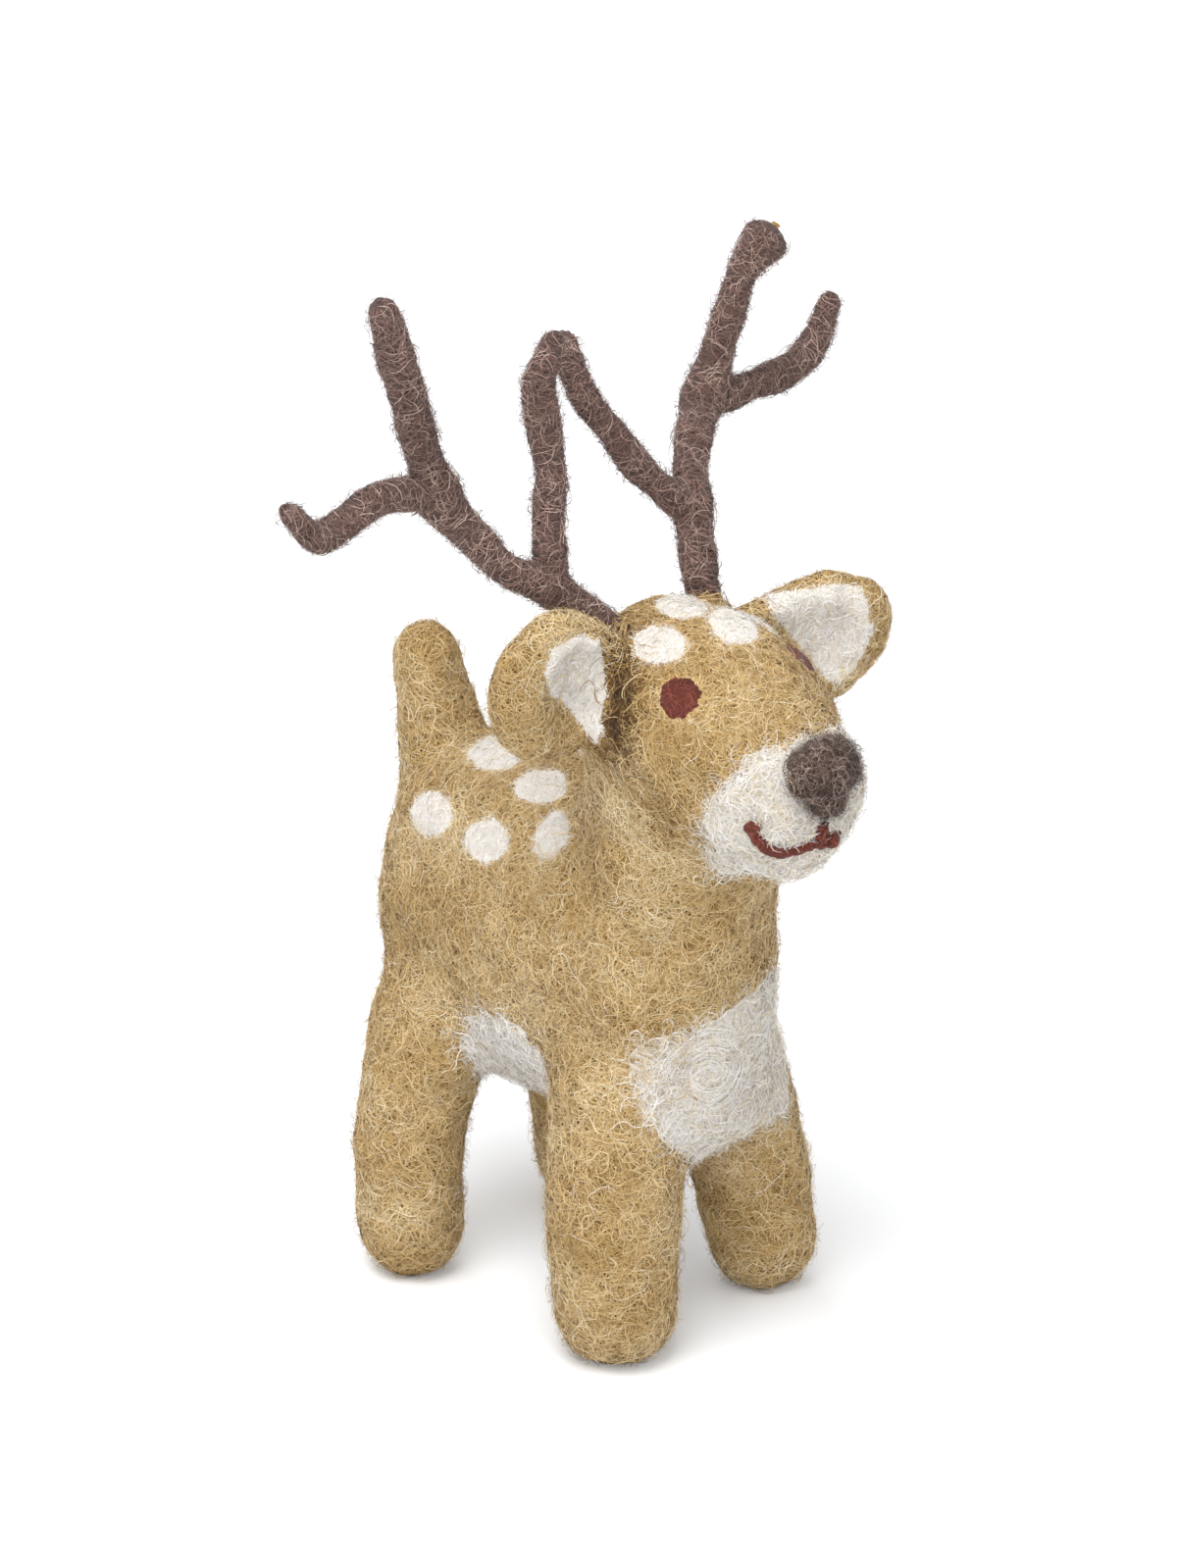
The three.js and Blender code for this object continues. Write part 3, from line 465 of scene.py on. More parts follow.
# %% Relax the skin, and its joints most
head_at, torso_at = felt_nodes.index("head"), felt_nodes.index("torso")
legs_at = [i for i, n in enumerate(felt_nodes) if n.startswith("leg")]
neck_joint = 1 - np.maximum(reach[:, head_at], reach[:, torso_at]) / 10
leg_joint = 1 - np.maximum(reach[:, legs_at].min(1), reach[:, torso_at]) / 4
blend = coat.vertex_groups.new(name="joints")
for i, weight in enumerate(np.clip(np.maximum(neck_joint, leg_joint) * 1.4, 0, 1).tolist()):
    if weight > 0:
        blend.add([i], weight, "REPLACE")
add_modifier(coat, "SMOOTH", factor=0.5, iterations=250, vertex_group="joints")
add_modifier(coat, "SMOOTH", factor=0.5, iterations=12)
apply_modifiers(coat)
print("blended points:", int((np.maximum(neck_joint, leg_joint) > 0).sum()))

# %% [markdown]
# Felt is never quite smooth: the needle leaves soft lumps a few millimetres across. Slow noise moves each
# point of the skin along its normal by less than half a millimetre. The soles stay flat on the floor.

# %% Lumps
def grow_lumps(mesh, size, height, seed):
    """Moves every point along its normal by slow noise, and keeps it above the floor."""
    co = np.array([v.co for v in mesh.vertices])
    normals = np.array([v.normal for v in mesh.vertices])
    push = noise_at(co, size, (seed, seed * 0.37, -seed)) * height
    co = co + normals * push[:, None]
    co[:, 2] = np.maximum(co[:, 2], 0.0)
    mesh.vertices.foreach_set("co", co.astype(np.float32).ravel())
    mesh.update()
    return float(np.abs(push).max())


print("lumps up to", round(grow_lumps(coat.data, 6.5 * MM, 0.55 * MM, 3.1) / MM, 2), "mm")
print("fine lumps up to", round(grow_lumps(coat.data, 2.2 * MM, 0.22 * MM, 7.7) / MM, 2), "mm")

# %% [markdown]
# The deer stays an assembly, so the skin is cut into the pieces it was joined from. Each face goes to
# the CAD solid that is nearest. Both sides of a cut keep the whole skin's normals, so no seam shows.

# %% Cut the skin into its pieces
coat_points = points_of(coat)
coat_faces = quads_of(coat)
coat_normals = np.array([v.normal for v in coat.data.vertices])
owner = reach[coat_faces].sum(1).argmin(1)
ears_at = [i for i, n in enumerate(felt_nodes) if n.startswith("ear")]
# Painted shade: a mask that darkens the wool where the head meets an ear.
crease_shade = np.clip(1.1 - np.maximum(reach[:, head_at], reach[:, ears_at].min(1)) / 2.0, 0, 1) ** 1.6 * 0.8
coat_tree = search_tree(coat_points, coat_faces)
print("faces of each piece:", np.bincount(owner).tolist())

# %% [markdown]
# Where a patch of wool begins and ends is read off the photograph, so some outlines are given in pixels of
# its frame. Each point of the skin is carried into the frame by the camera's own numbers, and the outline
# says how far inside it lies. Only points that face the camera are judged so. The rest go by the CAD.

# %% Outlines in the camera's frame
FRAME_WIDTH, FRAME_HEIGHT = 1200, 1599
PIXELS_LONG = LENS_MM / SENSOR_MM * FRAME_HEIGHT
MM_PER_PIXEL = 0.126
FRAY = 1.6 * MM


def in_frame(points):
    """Where the camera sees these points, in pixels of the whole frame."""
    away = points - np.array(camera.matrix_world.translation)
    deep = -(away @ np.array(cam_back))
    across = FRAME_WIDTH / 2 + PIXELS_LONG * (away @ np.array(cam_right)) / deep
    return np.stack([across, FRAME_HEIGHT / 2 - PIXELS_LONG * (away @ np.array(cam_up)) / deep], 1)


def depth_in_outline(outline, points, normals, fray_mm):
    """How far inside an outline in the frame each point lies, in metres, and which points face the camera."""
    at = in_frame(points)
    a, b = np.array(outline, float), np.roll(np.array(outline, float), -1, 0)
    side = b - a
    t = np.clip(((at[:, None] - a) * side).sum(2) / (side ** 2).sum(1), 0, 1)
    far = np.linalg.norm(at[:, None] - (a + side * t[..., None]), axis=2).min(1)
    over = (a[:, 1] > at[:, 1:]) != (b[:, 1] > at[:, 1:])
    cut = a[:, 0] + (at[:, 1:] - a[:, 1]) * side[:, 0] / np.where(side[:, 1] == 0, 1e-9, side[:, 1])
    inside = ((at[:, :1] < cut) & over).sum(1) % 2 == 1
    millimetres = far * MM_PER_PIXEL * np.where(inside, 1, -1)
    facing = normals @ np.array(cam_back) > 0.05
    return (millimetres + noise_at(points, FRAY) * fray_mm) * MM, facing


# In front of the right ear, the fold as the camera sees it gets more painted shade.
ear_fold = [(618, 636), (632, 650), (642, 690), (642, 730), (634, 768), (624, 778), (625, 745), (619, 700)]
in_fold, facing = depth_in_outline(ear_fold, coat_points, coat_normals, 0.3)
by_ear = reach[:, [head_at, felt_nodes.index("ear_right")]].min(1) < 1.5
crease_shade = np.maximum(crease_shade, np.where(facing & by_ear, np.clip(in_fold / MM + 0.7, 0, 1) * 0.9, 0))
print("points in the fold by the ear:", int((facing & by_ear & (in_fold > 0)).sum()))

# %% [markdown]
# The skin can now be cut. The painted crease shade of each point goes with it, and darkens the wool there.

# %% The coat's pieces
def cut_piece(name, points, normals, faces, material, slot, replaced=(), depth=None):
    """Makes a piece from some faces of a larger skin, and keeps that skin's normals."""
    used, index = np.unique(faces, return_inverse=True)
    piece = make_piece(name, points[used], index.reshape(faces.shape), material, slot, replaced=replaced)
    if depth is not None:
        # A given depth here is the painted crease shade, kept on the piece's points.
        add_values(piece.data, "crease_shade", depth[used])
    piece.data.normals_split_custom_set_from_vertices(normals[used].tolist())
    return piece


for i, name in enumerate(felt_nodes):
    own = coat_faces[owner == i]
    part = cut_piece("coat_" + name, coat_points, coat_normals, own, tan_felt, "tan_felt", [name], crease_shade)
    print(part.name, len(part.data.polygons), "faces")
bpy.data.objects.remove(coat)

# %% [markdown]
# The white wool is felted into the tan. Each spot, patch and lining is a thin pad, made from the
# part of the skin that lies under its CAD solid: lifted a little in the middle, and sunk at its rim.
# Noise frays the rim, because nobody lays wool to a line.

# %% Pads of coloured wool
def unit(v):
    return v / np.maximum(np.linalg.norm(v, axis=-1, keepdims=True), 1e-12)


def split_quads(values, quads):
    """Every quad as four smaller ones. The values at a new point are the mean of those round it."""
    ends = np.sort(np.stack([quads, np.roll(quads, -1, 1)], 2).reshape(-1, 2), axis=1)
    edges, edge = np.unique(ends, axis=0, return_inverse=True)
    edge = edge.reshape(quads.shape) + len(values)
    middle = np.repeat((np.arange(len(quads)) + len(values) + len(edges))[:, None], 4, 1)
    values = np.concatenate([values, values[edges].mean(1), values[quads].mean(1)])
    return values, np.stack([quads, edge, middle, np.roll(edge, 1, 1)], 2).reshape(-1, 4)


SLOPE_ALLOWED, ON_SOLID = 0.4, 0.12 * MM


def depth_inside(tree, points, normals, reach_mm, fray_mm, most_mm):
    """How far inside a pad each point lies, in metres. It counts sideways, so a lump doesn't matter."""
    depth = np.full(len(points), -1.0)
    wobble = noise_at(points, FRAY)
    for i, (p, n) in enumerate(zip(points.tolist(), normals.tolist())):
        place, facing, _, far = tree.find_nearest(p)
        off, n = Vector(p) - place, Vector(n)
        aside = max(0.0, (off - n * off.dot(n)).length - SLOPE_ALLOWED * abs(off.dot(n)))
        if far < most_mm * MM and (far < 0.5 * MM or facing.dot(n) > -0.5):
            depth[i] = MM if aside < ON_SOLID else reach_mm * MM - aside + wobble[i] * fray_mm * MM
    return depth


def oval(x, y, width, height, tilt=0):
    """An oval outline in the frame, in pixels, with its tilt in degrees."""
    angle = np.linspace(0, 2 * math.pi, 24, endpoint=False)
    c, s = math.cos(math.radians(tilt)), math.sin(math.radians(tilt))
    u, v = np.cos(angle) * width / 2, np.sin(angle) * height / 2
    return np.stack([x + u * c - v * s, y + u * s + v * c], 1)


# %% [markdown]
# A pad starts as the quads of the skin near its solid. They are split twice, so the cut can follow a fine
# line, and those inside are kept. Then each point is lifted by how far it is from the rim.

# %% Pad maker
FAR_MM, LINING_FAR_MM, ON_MM = 3.2, 1.5, 2.0
RIM, RIM_SUNK_MM = 0.05, 0.06


def add_pad(node, material, slot, height_mm, reach_mm, fray_mm, rise_mm, on, outline):
    tree, lining = tree_of(nodes[node]), "lining" in node
    low, high = (np.array(corner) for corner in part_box(node))
    near = ((coat_points > low - 3 * MM) & (coat_points < high + 3 * MM)).all(1)
    on_it = near[coat_faces].all(1)
    allowed = [felt_nodes.index(n) for n in on]
    if lining:
        on_it &= np.isin(owner, allowed)
    elif on:
        on_it &= (reach[:, allowed].min(1) < ON_MM)[coat_faces].all(1)
    quads = coat_faces[on_it]
    used, index = np.unique(quads, return_inverse=True)
    values, quads = np.hstack([coat_points, coat_normals])[used], index.reshape(quads.shape)

    def depth_at(values, more_mm, fray_mm):
        here, normals = values[:, :3], unit(values[:, 3:])
        most_mm = LINING_FAR_MM if lining else FAR_MM
        depth = depth_inside(tree, here, normals, reach_mm + more_mm, fray_mm, most_mm)
        if outline is None:
            return depth
        seen_depth, facing = depth_in_outline(outline, here, normals, fray_mm)
        return np.where(facing, seen_depth + more_mm * MM, depth)

    quads = quads[(depth_at(values, 1.2, 0)[quads] > 0).any(1)]
    for _ in range(2):
        values, quads = split_quads(values, quads)
    used, index = np.unique(quads, return_inverse=True)
    values, quads = values[used], index.reshape(quads.shape)
    here, normals = values[:, :3], unit(values[:, 3:])
    depth = depth_at(values, 0, fray_mm)
    quads = quads[(depth[quads] > 0).all(1)]
    edges = np.sort(np.stack([quads, np.roll(quads, -1, 1)], 2).reshape(-1, 2), axis=1)
    rim, count = np.unique(edges, axis=0, return_counts=True)
    rim_points = np.unique(rim[count == 1])
    rim_tree = KDTree(len(rim_points))
    for i in rim_points:
        rim_tree.insert(here[i], int(i))
    rim_tree.balance()
    gap = np.array([rim_tree.find(p)[2] for p in here.tolist()])
    rise = np.clip(gap / (rise_mm * MM), 0, 1)
    sunk = RIM_SUNK_MM * (rise < RIM)
    lift = (np.sin(rise * math.pi / 2) * height_mm - sunk) * MM
    return cut_piece("wool_" + node, here + normals * lift[:, None], normals, quads, material, slot, [node])


print("a pad may follow a solid up to", FAR_MM, "mm under the skin, a lining up to", LINING_FAR_MM, "mm")

# %% [markdown]
# The outlines of the patches that the photograph shows, in pixels of its frame. Spots are ovals. The
# eyes, the belly, the spots on the deer's left and one on the forehead have none: they follow their solids.

# %% White patches and eyes
seen_outlines = {
    "ear_lining_right": [
        (552, 685), (562, 660), (587, 647), (612, 648), (618, 680), (619, 710), (624, 742), (625, 762),
        (606, 762), (590, 742), (576, 722), (560, 712)],
    "ear_lining_left": [
        (776, 606), (812, 600), (850, 592), (882, 597), (893, 618), (890, 652), (872, 682), (854, 702),
        (838, 692), (822, 672), (806, 652), (788, 632)],
    "back_spot_right_1": oval(506, 769, 62, 38, -4),
    "back_spot_right_2": oval(552, 803, 60, 38, -6),
    "back_spot_right_3": oval(441, 830, 46, 50, 10),
    "back_spot_right_4": oval(497, 857, 50, 50),
    "back_spot_right_5": oval(563, 852, 36, 58, 24),
    "forehead_spot_1": oval(672, 658, 60, 42, 2),
    "forehead_spot_2": oval(695, 620, 58, 26, 4),
    "forehead_spot_3": oval(747, 640, 58, 36, 24),
    "chest_patch": [
        (641, 1082), (660, 1062), (726, 1043), (760, 1018), (785, 990), (830, 990), (830, 1100),
        (800, 1135), (775, 1150), (745, 1160), (712, 1186), (690, 1176), (657, 1142), (648, 1108)],
    "muzzle_patch": [
        (803, 758), (767, 773), (746, 796), (723, 819), (718, 850), (727, 898), (762, 922), (850, 930),
        (900, 880), (900, 780), (860, 745)],
}
pads = {}


def dress(node, height, reach_mm, fray_mm, rise_mm, on=(), material=white_felt, slot="white_wool"):
    outline = seen_outlines.get(node)
    pads[node] = add_pad(node, material, slot, height, reach_mm, fray_mm, rise_mm, on, outline)


for side, eye_reach in (("left", 0.3), ("right", 0.6)):
    dress("ear_lining_" + side, 0.3, 1.1, 0.3, 1.2, ("ear_" + side,))
    dress("eye_" + side, 0.5, eye_reach, 0.15, 1.8, ("head",), rust_felt, "rust_wool")
    for i in range(1, 6):
        dress("back_spot_%s_%d" % (side, i), 0.4, 0.8, 0.35, 1.8)
for i in range(1, 5):
    dress("forehead_spot_%d" % i, 0.4, 0.4, 0.3, 1.8, ("head",))
dress("chest_patch", 0.35, 0.9, 0.9, 2.5)
dress("belly_patch", 0.35, 1.5, 0.9, 2.5)
dress("muzzle_patch", 0.35, 0.3, 0.9, 2.5, ("head",))
print("pads:", {n: len(p.data.polygons) for n, p in pads.items()})

# %% [markdown]
# Loose fibres make felt look like felt. Each one is a thin ribbon that walks over the skin: it starts at
# a random place, turns a little at each step, because wool is crimped, and is pulled back to the surface.
# Its height over the skin says what kind it is: lying, arched with both ends in, or free at one end.
# Ribbons take far fewer faces than tubes, and at a tenth of a millimetre nobody sees the difference.

# %% Fibre maker
rng = np.random.default_rng(20)
DENSITY = 1.0


def nearest_on(tree, points):
    place, normal = np.empty_like(points), np.empty_like(points)
    face = np.empty(len(points), int)
    for i, p in enumerate(points.tolist()):
        place[i], normal[i], face[i], _ = tree.find_nearest(p)
    return place, normal, face


def scatter(points, quads, count):
    """Random points on a skin, evenly over its area."""
    tri = np.concatenate([quads[:, :3], quads[:, [0, 2, 3]]])
    a, b, c = points[tri[:, 0]], points[tri[:, 1]], points[tri[:, 2]]
    area = np.linalg.norm(np.cross(b - a, c - a), axis=1)
    pick = rng.choice(len(tri), count, p=area / area.sum())
    u, v = rng.random((2, count, 1))
    flip = (u + v) > 1
    u, v = np.where(flip, 1 - u, u), np.where(flip, 1 - v, v)
    return a[pick] + u * (b - a)[pick] + v * (c - a)[pick]


def walk(tree, seeds, length_mm, steps, crimp, heading=None, bend=None):
    """Paths of len(seeds) fibres over a skin, with the skin's normal and face at each point."""
    count, length = len(seeds), length_mm * MM
    place, normal, face = nearest_on(tree, seeds)
    if heading is None:
        heading = rng.normal(size=(count, 3))
    heading = unit(heading - normal * (heading * normal).sum(1, keepdims=True))
    step = (length * rng.uniform(0.6, 1.25, count) / steps)[:, None]
    bend = rng.normal(0, crimp, (count, 1)) if bend is None else bend
    wave, phase = rng.uniform(1.2, 2.6, (count, 1)) * crimp, rng.uniform(0, 6.28, (count, 1))
    beat = rng.uniform(0.9, 1.9, (count, 1))
    paths, normals, faces = [], [], []
    for k in range(steps + 1):
        paths.append(place)
        normals.append(normal)
        faces.append(face)
        turn = (bend + wave * np.sin(phase + beat * k)) * step / MM
        heading = heading * np.cos(turn) + np.cross(normal, heading) * np.sin(turn)
        place, normal, face = nearest_on(tree, place + heading * step)
        heading = unit(heading - normal * (heading * normal).sum(1, keepdims=True))
    faces = np.repeat(np.stack(faces, 1), 2, 1)[:, :-1]
    return smoother(np.stack(paths, 1)), unit(smoother(np.stack(normals, 1))), faces


def smoother(paths):
    """Twice as many steps on each path, on a smooth curve through the points it has."""
    p = np.concatenate([2 * paths[:, :1] - paths[:, 1:2], paths, 2 * paths[:, -1:] - paths[:, -2:-1]], 1)
    made = np.empty((len(paths), 2 * paths.shape[1] - 1, 3))
    made[:, 0::2] = paths
    made[:, 1::2] = (9 * (p[:, 1:-2] + p[:, 2:-1]) - p[:, :-3] - p[:, 3:]) / 16
    return made


def ribbons(paths, normals, width):
    """Points and faces of a flat ribbon along each path, thinner at both ends."""
    count, rings = paths.shape[:2]
    along = unit(np.gradient(paths, axis=1))
    side = unit(np.cross(normals, along))
    roll = rng.normal(0, 0.45, (count, 1, 1))
    side = side * np.cos(roll) + normals * np.sin(roll)
    t = np.linspace(0, 1, rings)[None, :, None]
    taper = np.clip(np.minimum(t, 1 - t) * 6, 0.3, 1)
    half = side * taper * (width * rng.uniform(0.7, 1.3, (count, 1, 1)) / 2)
    points = np.stack([paths - half, paths + half], 2).reshape(-1, 3)
    first = (np.arange(count)[:, None] * rings + np.arange(rings - 1)[None]) * 2
    faces = np.stack([first, first + 2, first + 3, first + 1], -1).reshape(-1, 4)
    return points, faces


MOST_FACES, FLOOR_GAP, SUNK_MM = 95000, 0.05 * MM, 0.04


def add_fibres(name, paths, normals, heights, material, width_mm, tints, roll=0.3):
    """Fibre pieces of at most MOST_FACES ribbons' faces each. Heights are in metres over the skin."""
    lifted = paths + normals * heights[..., None]
    lifted[..., 2] = np.maximum(lifted[..., 2], FLOOR_GAP)
    rings = paths.shape[1]
    share = max(1, MOST_FACES // (rings - 1))
    made = []
    for k, start in enumerate(range(0, len(paths), share)):
        part = slice(start, start + share)
        points, faces = ribbons(lifted[part], normals[part], width_mm * MM)
        tint = np.repeat(np.clip(tints[part], 0, 1), rings * 2)
        piece_name, slot = "%s_%d" % (name, k + 1), slot_of[material.name]
        piece = make_piece(piece_name, points, faces, material, slot, tint=tint)
        tilt = rng.normal(0, roll, (len(tints[part]), 1, 1))
        aside = unit(np.cross(normals[part], np.gradient(lifted[part], axis=1)))
        leaning = unit(normals[part] + aside * tilt)
        piece.data.normals_split_custom_set_from_vertices(np.repeat(leaning.reshape(-1, 3), 2, 0).tolist())
        made.append(piece)
    print(name, len(paths), "fibres in", len(made), "pieces")
    return made


def height_profile(count, steps, low, high, loose, stand):
    """A height for each point of each fibre. A share `loose` of them stands off, up to `stand` mm."""
    t = np.linspace(0, 1, 2 * steps + 1)[None]
    lying = rng.uniform(low, high, (count, 1)) * np.clip(np.minimum(t, 1 - t) * 5, 0, 1) - SUNK_MM
    up = stand * rng.uniform(0.25, 1, (count, 1)) ** 1.5
    arched = np.sin(t * math.pi) * up
    free = (t ** 1.4) * up
    kind = rng.random((count, 1))
    return np.where(kind < loose * 0.45, arched, np.where(kind < loose, free, lying)) * MM


print("at most", MOST_FACES, "faces in a piece, and", DENSITY, "of the fibres")

# %% [markdown]
# The tan fibres come first, in three layers: flat ones lying low, longer ones over them, and a thin fuzz.
# The low layer is tinted darker and the upper ones lighter, as painted shade and light of the mat's depth.
# They walk on the coat itself, so they dive under the pads' lifted middles. Where one would still cross a pad
# it is kept low, apart from a few pale strays, and more of them where the white on the chest is laid thin.

# %% Tan fibres
pad_tree = tree_of(*pads.values())
centres = coat_points[coat_faces].mean(1).tolist()
white_face = np.array([pad_tree.find_nearest(p, 0.5 * MM)[0] is not None for p in centres])
eye_places = [points_of(pads["eye_" + side]).mean(0) for side in ("left", "right")]
# Painted light: tan fibres are made paler where the head meets the neck, to lift the shade of that groove.
neck_painted_light = np.clip(1.4 - np.maximum(reach[:, head_at], reach[:, torso_at]) / 5, 0, 1)
THIN_CHEST, THIN_RADII = (684, 1092), (38, 34)
STRAYS, STRAYS_ON_THIN, OFF_EYES = 0.01, 0.42, 7 * MM
TINT_OF, BLOTCHES = {"head": -0.08, "ears": 0.03}, ((0.22, 7 * MM), (0.16, 2.4 * MM))
PALE, LOW_ON_WHITE, OVER_WHITE = 0.85, 0.1 * MM, 0.4 * MM


def tan_fibres(layer, part, own, per_mm2, length_mm, steps, crimp, low, high, loose, stand, width_mm, tint):
    quads = coat_faces[np.isin(owner, own)]
    a, b, c, d = (coat_points[quads[:, k]] for k in range(4))
    area = np.linalg.norm(np.cross(c - a, d - b), axis=1).sum() / 2
    count = int(area / MM ** 2 * per_mm2 * DENSITY)
    seeds = scatter(coat_points, quads, count)
    paths, normals, faces = walk(coat_tree, seeds, length_mm, steps, crimp)
    heights = height_profile(count, steps, low, high, loose, stand)
    thin = np.linalg.norm((in_frame(seeds) - THIN_CHEST) / THIN_RADII, axis=1) < 1
    off_eyes = np.min([np.linalg.norm(seeds - eye, axis=1) for eye in eye_places], 0) > OFF_EYES
    stray = rng.random((count, 1)) < np.where(thin, STRAYS_ON_THIN, STRAYS * off_eyes)[:, None]
    over_white = np.where(stray, heights + OVER_WHITE, np.minimum(heights, LOW_ON_WHITE))
    heights = np.where(white_face[faces], over_white, heights)
    tints = tint[0] + (tint[1] - tint[0]) * rng.beta(1.6, 1.6, count)
    for gain, size in BLOTCHES:
        tints = tints + gain * noise_at(seeds, size)
    tints = np.where(stray[:, 0] & ~thin, np.maximum(tints, PALE), tints)
    corner = coat_faces[faces[:, 0], 0]
    # Painted shade darkens the fibres in the creases; painted light pales them where the head meets the neck.
    tints += TINT_OF.get(part, 0) + 0.14 * neck_painted_light[corner] - 0.9 * crease_shade[corner]
    add_fibres(layer + "_" + part, paths, normals, heights, tan_fibre, width_mm, tints)


# For each layer: hairs per mm2, length in mm, steps, crimp, lowest and highest lying height in mm,
# the share that stands off, how far in mm, width in mm, and its tints on the ramp from dark to light.
tan_layers = {
    # The under layer's dark tints are painted shade, the tints of the layers above painted light.
    "under": (3.0, 4.4, 4, 0.42, 0.0, 0.1, 0.0, 0.1, 0.12, (0.12, 0.6)),
    "fibres": (3.8, 6.6, 6, 0.38, 0.12, 0.38, 0.14, 0.7, 0.085, (0.42, 1.0)),
    "fuzz": (1.8, 4.2, 5, 0.55, 0.1, 0.3, 1.0, 1.3, 0.055, (0.55, 0.95)),
}
body = [torso_at, felt_nodes.index("tail")]
for part, own in (("body", body), ("head", [head_at]), ("ears", ears_at), ("legs", legs_at)):
    for layer, wool in tan_layers.items():
        tan_fibres(layer, part, own, *wool)

# %% [markdown]
# White wool is longer and softer. Its fibres start on the pads and run past their rims, which gives the
# spots their wispy edges. The eyes and the nose get short fibres of their own colour, felted hard.

# %% Fibres on the pads
def pad_fibres(name, pieces, material, per_mm2, length_mm, steps, crimp, high, loose, stand, width_mm,
               spill=0.1, roll=0.3):
    """Fibres on some pads. They stay there, apart from a share `spill` that runs out over the coat."""
    points, quads = joined([points_of(o) for o in pieces], [quads_of(o) for o in pieces])
    area = sum(sum(f.area for f in o.data.polygons) for o in pieces)
    made = []
    for tree, share in (
        (search_tree(points, quads), 1 - spill),
        (search_tree(*joined([coat_points, points], [coat_faces, quads])), spill),
    ):
        count = int(area / MM ** 2 * per_mm2 * share * DENSITY)
        seeds = scatter(points, quads, count)
        paths, normals, _ = walk(tree, seeds, length_mm, steps, crimp)
        made.append((paths, normals, height_profile(count, steps, 0.0, high, loose, stand)))
    paths, normals, heights = (np.concatenate(part) for part in zip(*made))
    tints = rng.beta(1.5, 1.4, len(paths))
    add_fibres(name, paths, normals, heights, material, width_mm, tints, roll)


spots = [p for n, p in pads.items() if "spot" in n]
patches = [pads[n] for n in ("chest_patch", "belly_patch", "muzzle_patch")]
creamy = [pads["muzzle_patch"], pads["chest_patch"]]
linings = [pads["ear_lining_left"], pads["ear_lining_right"]]
eyes = [pads["eye_left"], pads["eye_right"]]

# After the name and the pads: colour, hairs per mm2, length in mm, steps, crimp, highest lying height in mm,
# the share that stands off, how far in mm, width in mm, the share that spills over the rim, and roll.
for name, on_pads, colour, *wool in (
    ("wisps_spots", spots, white_fibre, 8.0, 2.4, 4, 0.5, 0.16, 0.1, 0.4, 0.08, 0.5, 0.12),
    ("fluff_spots", spots, white_fibre, 9.0, 1.8, 4, 0.6, 0.3, 1.0, 0.6, 0.05, 0.4, 0.12),
    ("wisps_patches", patches, white_fibre, 5.5, 6.0, 6, 0.46, 0.36, 0.2, 0.8, 0.095, 0.5),
    ("fluff_patches", patches, white_fibre, 6.0, 4.6, 5, 0.6, 0.4, 1.0, 1.2, 0.05, 0.35),
    ("cream_patches", creamy, pale_fibre, 2.4, 5.0, 6, 0.55, 0.45, 0.6, 1.3, 0.06, 0.5),
):
    pad_fibres(name, on_pads, colour, *wool)

# %% [markdown]
# On the chest the white was worked round and round with the needle, and some hairs still lie in rings.
# Each of these walks round one point of the chest, and bends by just what keeps it on its ring.

# %% Swirl on the chest
SWIRL, HAIRS = (722, 1094), 150
chest = points_of(pads["chest_patch"])
chest_tree = tree_of(pads["chest_patch"])
middle = chest[np.linalg.norm(in_frame(chest) - SWIRL, axis=1).argmin()]
ring = rng.uniform(0.8, 6.5, (HAIRS, 1))
_, chest_normal, _ = nearest_on(chest_tree, middle[None])
around = unit(np.cross(chest_normal, rng.normal(size=(HAIRS, 3))))
seeds, normal, _ = nearest_on(chest_tree, middle + around * ring * MM)
paths, normals, _ = walk(chest_tree, seeds, 11.0, 10, 0.06, np.cross(normal, around), 0.9 / ring)
heights = height_profile(HAIRS, 10, 0.25, 0.5, 0.2, 0.8)
tints = rng.uniform(0.2, 1, HAIRS)
add_fibres("swirl_chest", paths, normals, heights, white_fibre, 0.11, tints, 0.5)

# %% [markdown]
# The ears' linings and the eyes were felted hard, so their fibres are short and few of them stand off.

# %% Fibres in the ears and on the eyes
in_ears = 7.0, 3.0, 5, 0.45, 0.25, 0.15, 0.5, 0.095, 0.2
on_eyes = 8.0, 1.6, 4, 0.6, 0.1, 0.02, 0.2, 0.1, 0.1
pad_fibres("wisps_linings", linings, white_fibre, *in_ears)
pad_fibres("wisps_eyes", eyes, rust_fibre, *on_eyes)

# %% [markdown]
# The nose is a plug of dark wool, needled on over the white. It is a swollen and relaxed copy of its CAD
# solid, with its foot drawn up a little as the photograph shows, and a dense cover of short dark fibres.

# %% Nose
nose_node = nodes["nose"]
nose_mesh = bpy.data.meshes.new("wool_nose")
nose_points = points_of(nose_node) + np.array([v.normal for v in nose_node.data.vertices]) * 0.15 * MM
nose_top, nose_low = nose_points[:, 2].max(), nose_points[:, 2].min()
down = (nose_top - nose_points[:, 2:]) / (nose_top - nose_low)
foot_up, aside, foot_aside = 2.9, 0.75, 0.8
nose_points[:, 2:] = nose_top - down * (nose_top - nose_low - foot_up * MM)
nose_points[:, :1] -= (aside + foot_aside * down) * MM
nose_mesh.from_pydata(nose_points.tolist(), [], triangles_of(nose_node).tolist())
nose = bpy.data.objects.new("wool_nose", nose_mesh)
show(nose)
add_modifier(nose, "REMESH", mode="VOXEL", voxel_size=0.4 * MM)
add_modifier(nose, "SMOOTH", factor=0.5, iterations=10)
apply_modifiers(nose)
grow_lumps(nose.data, 2.6 * MM, 0.4 * MM, 5.5)
nose.data.materials.clear()
nose.data.materials.append(dark_felt)
nose.data.polygons.foreach_set("use_smooth", [True] * len(nose.data.polygons))
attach(nose, "root")
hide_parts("nose")
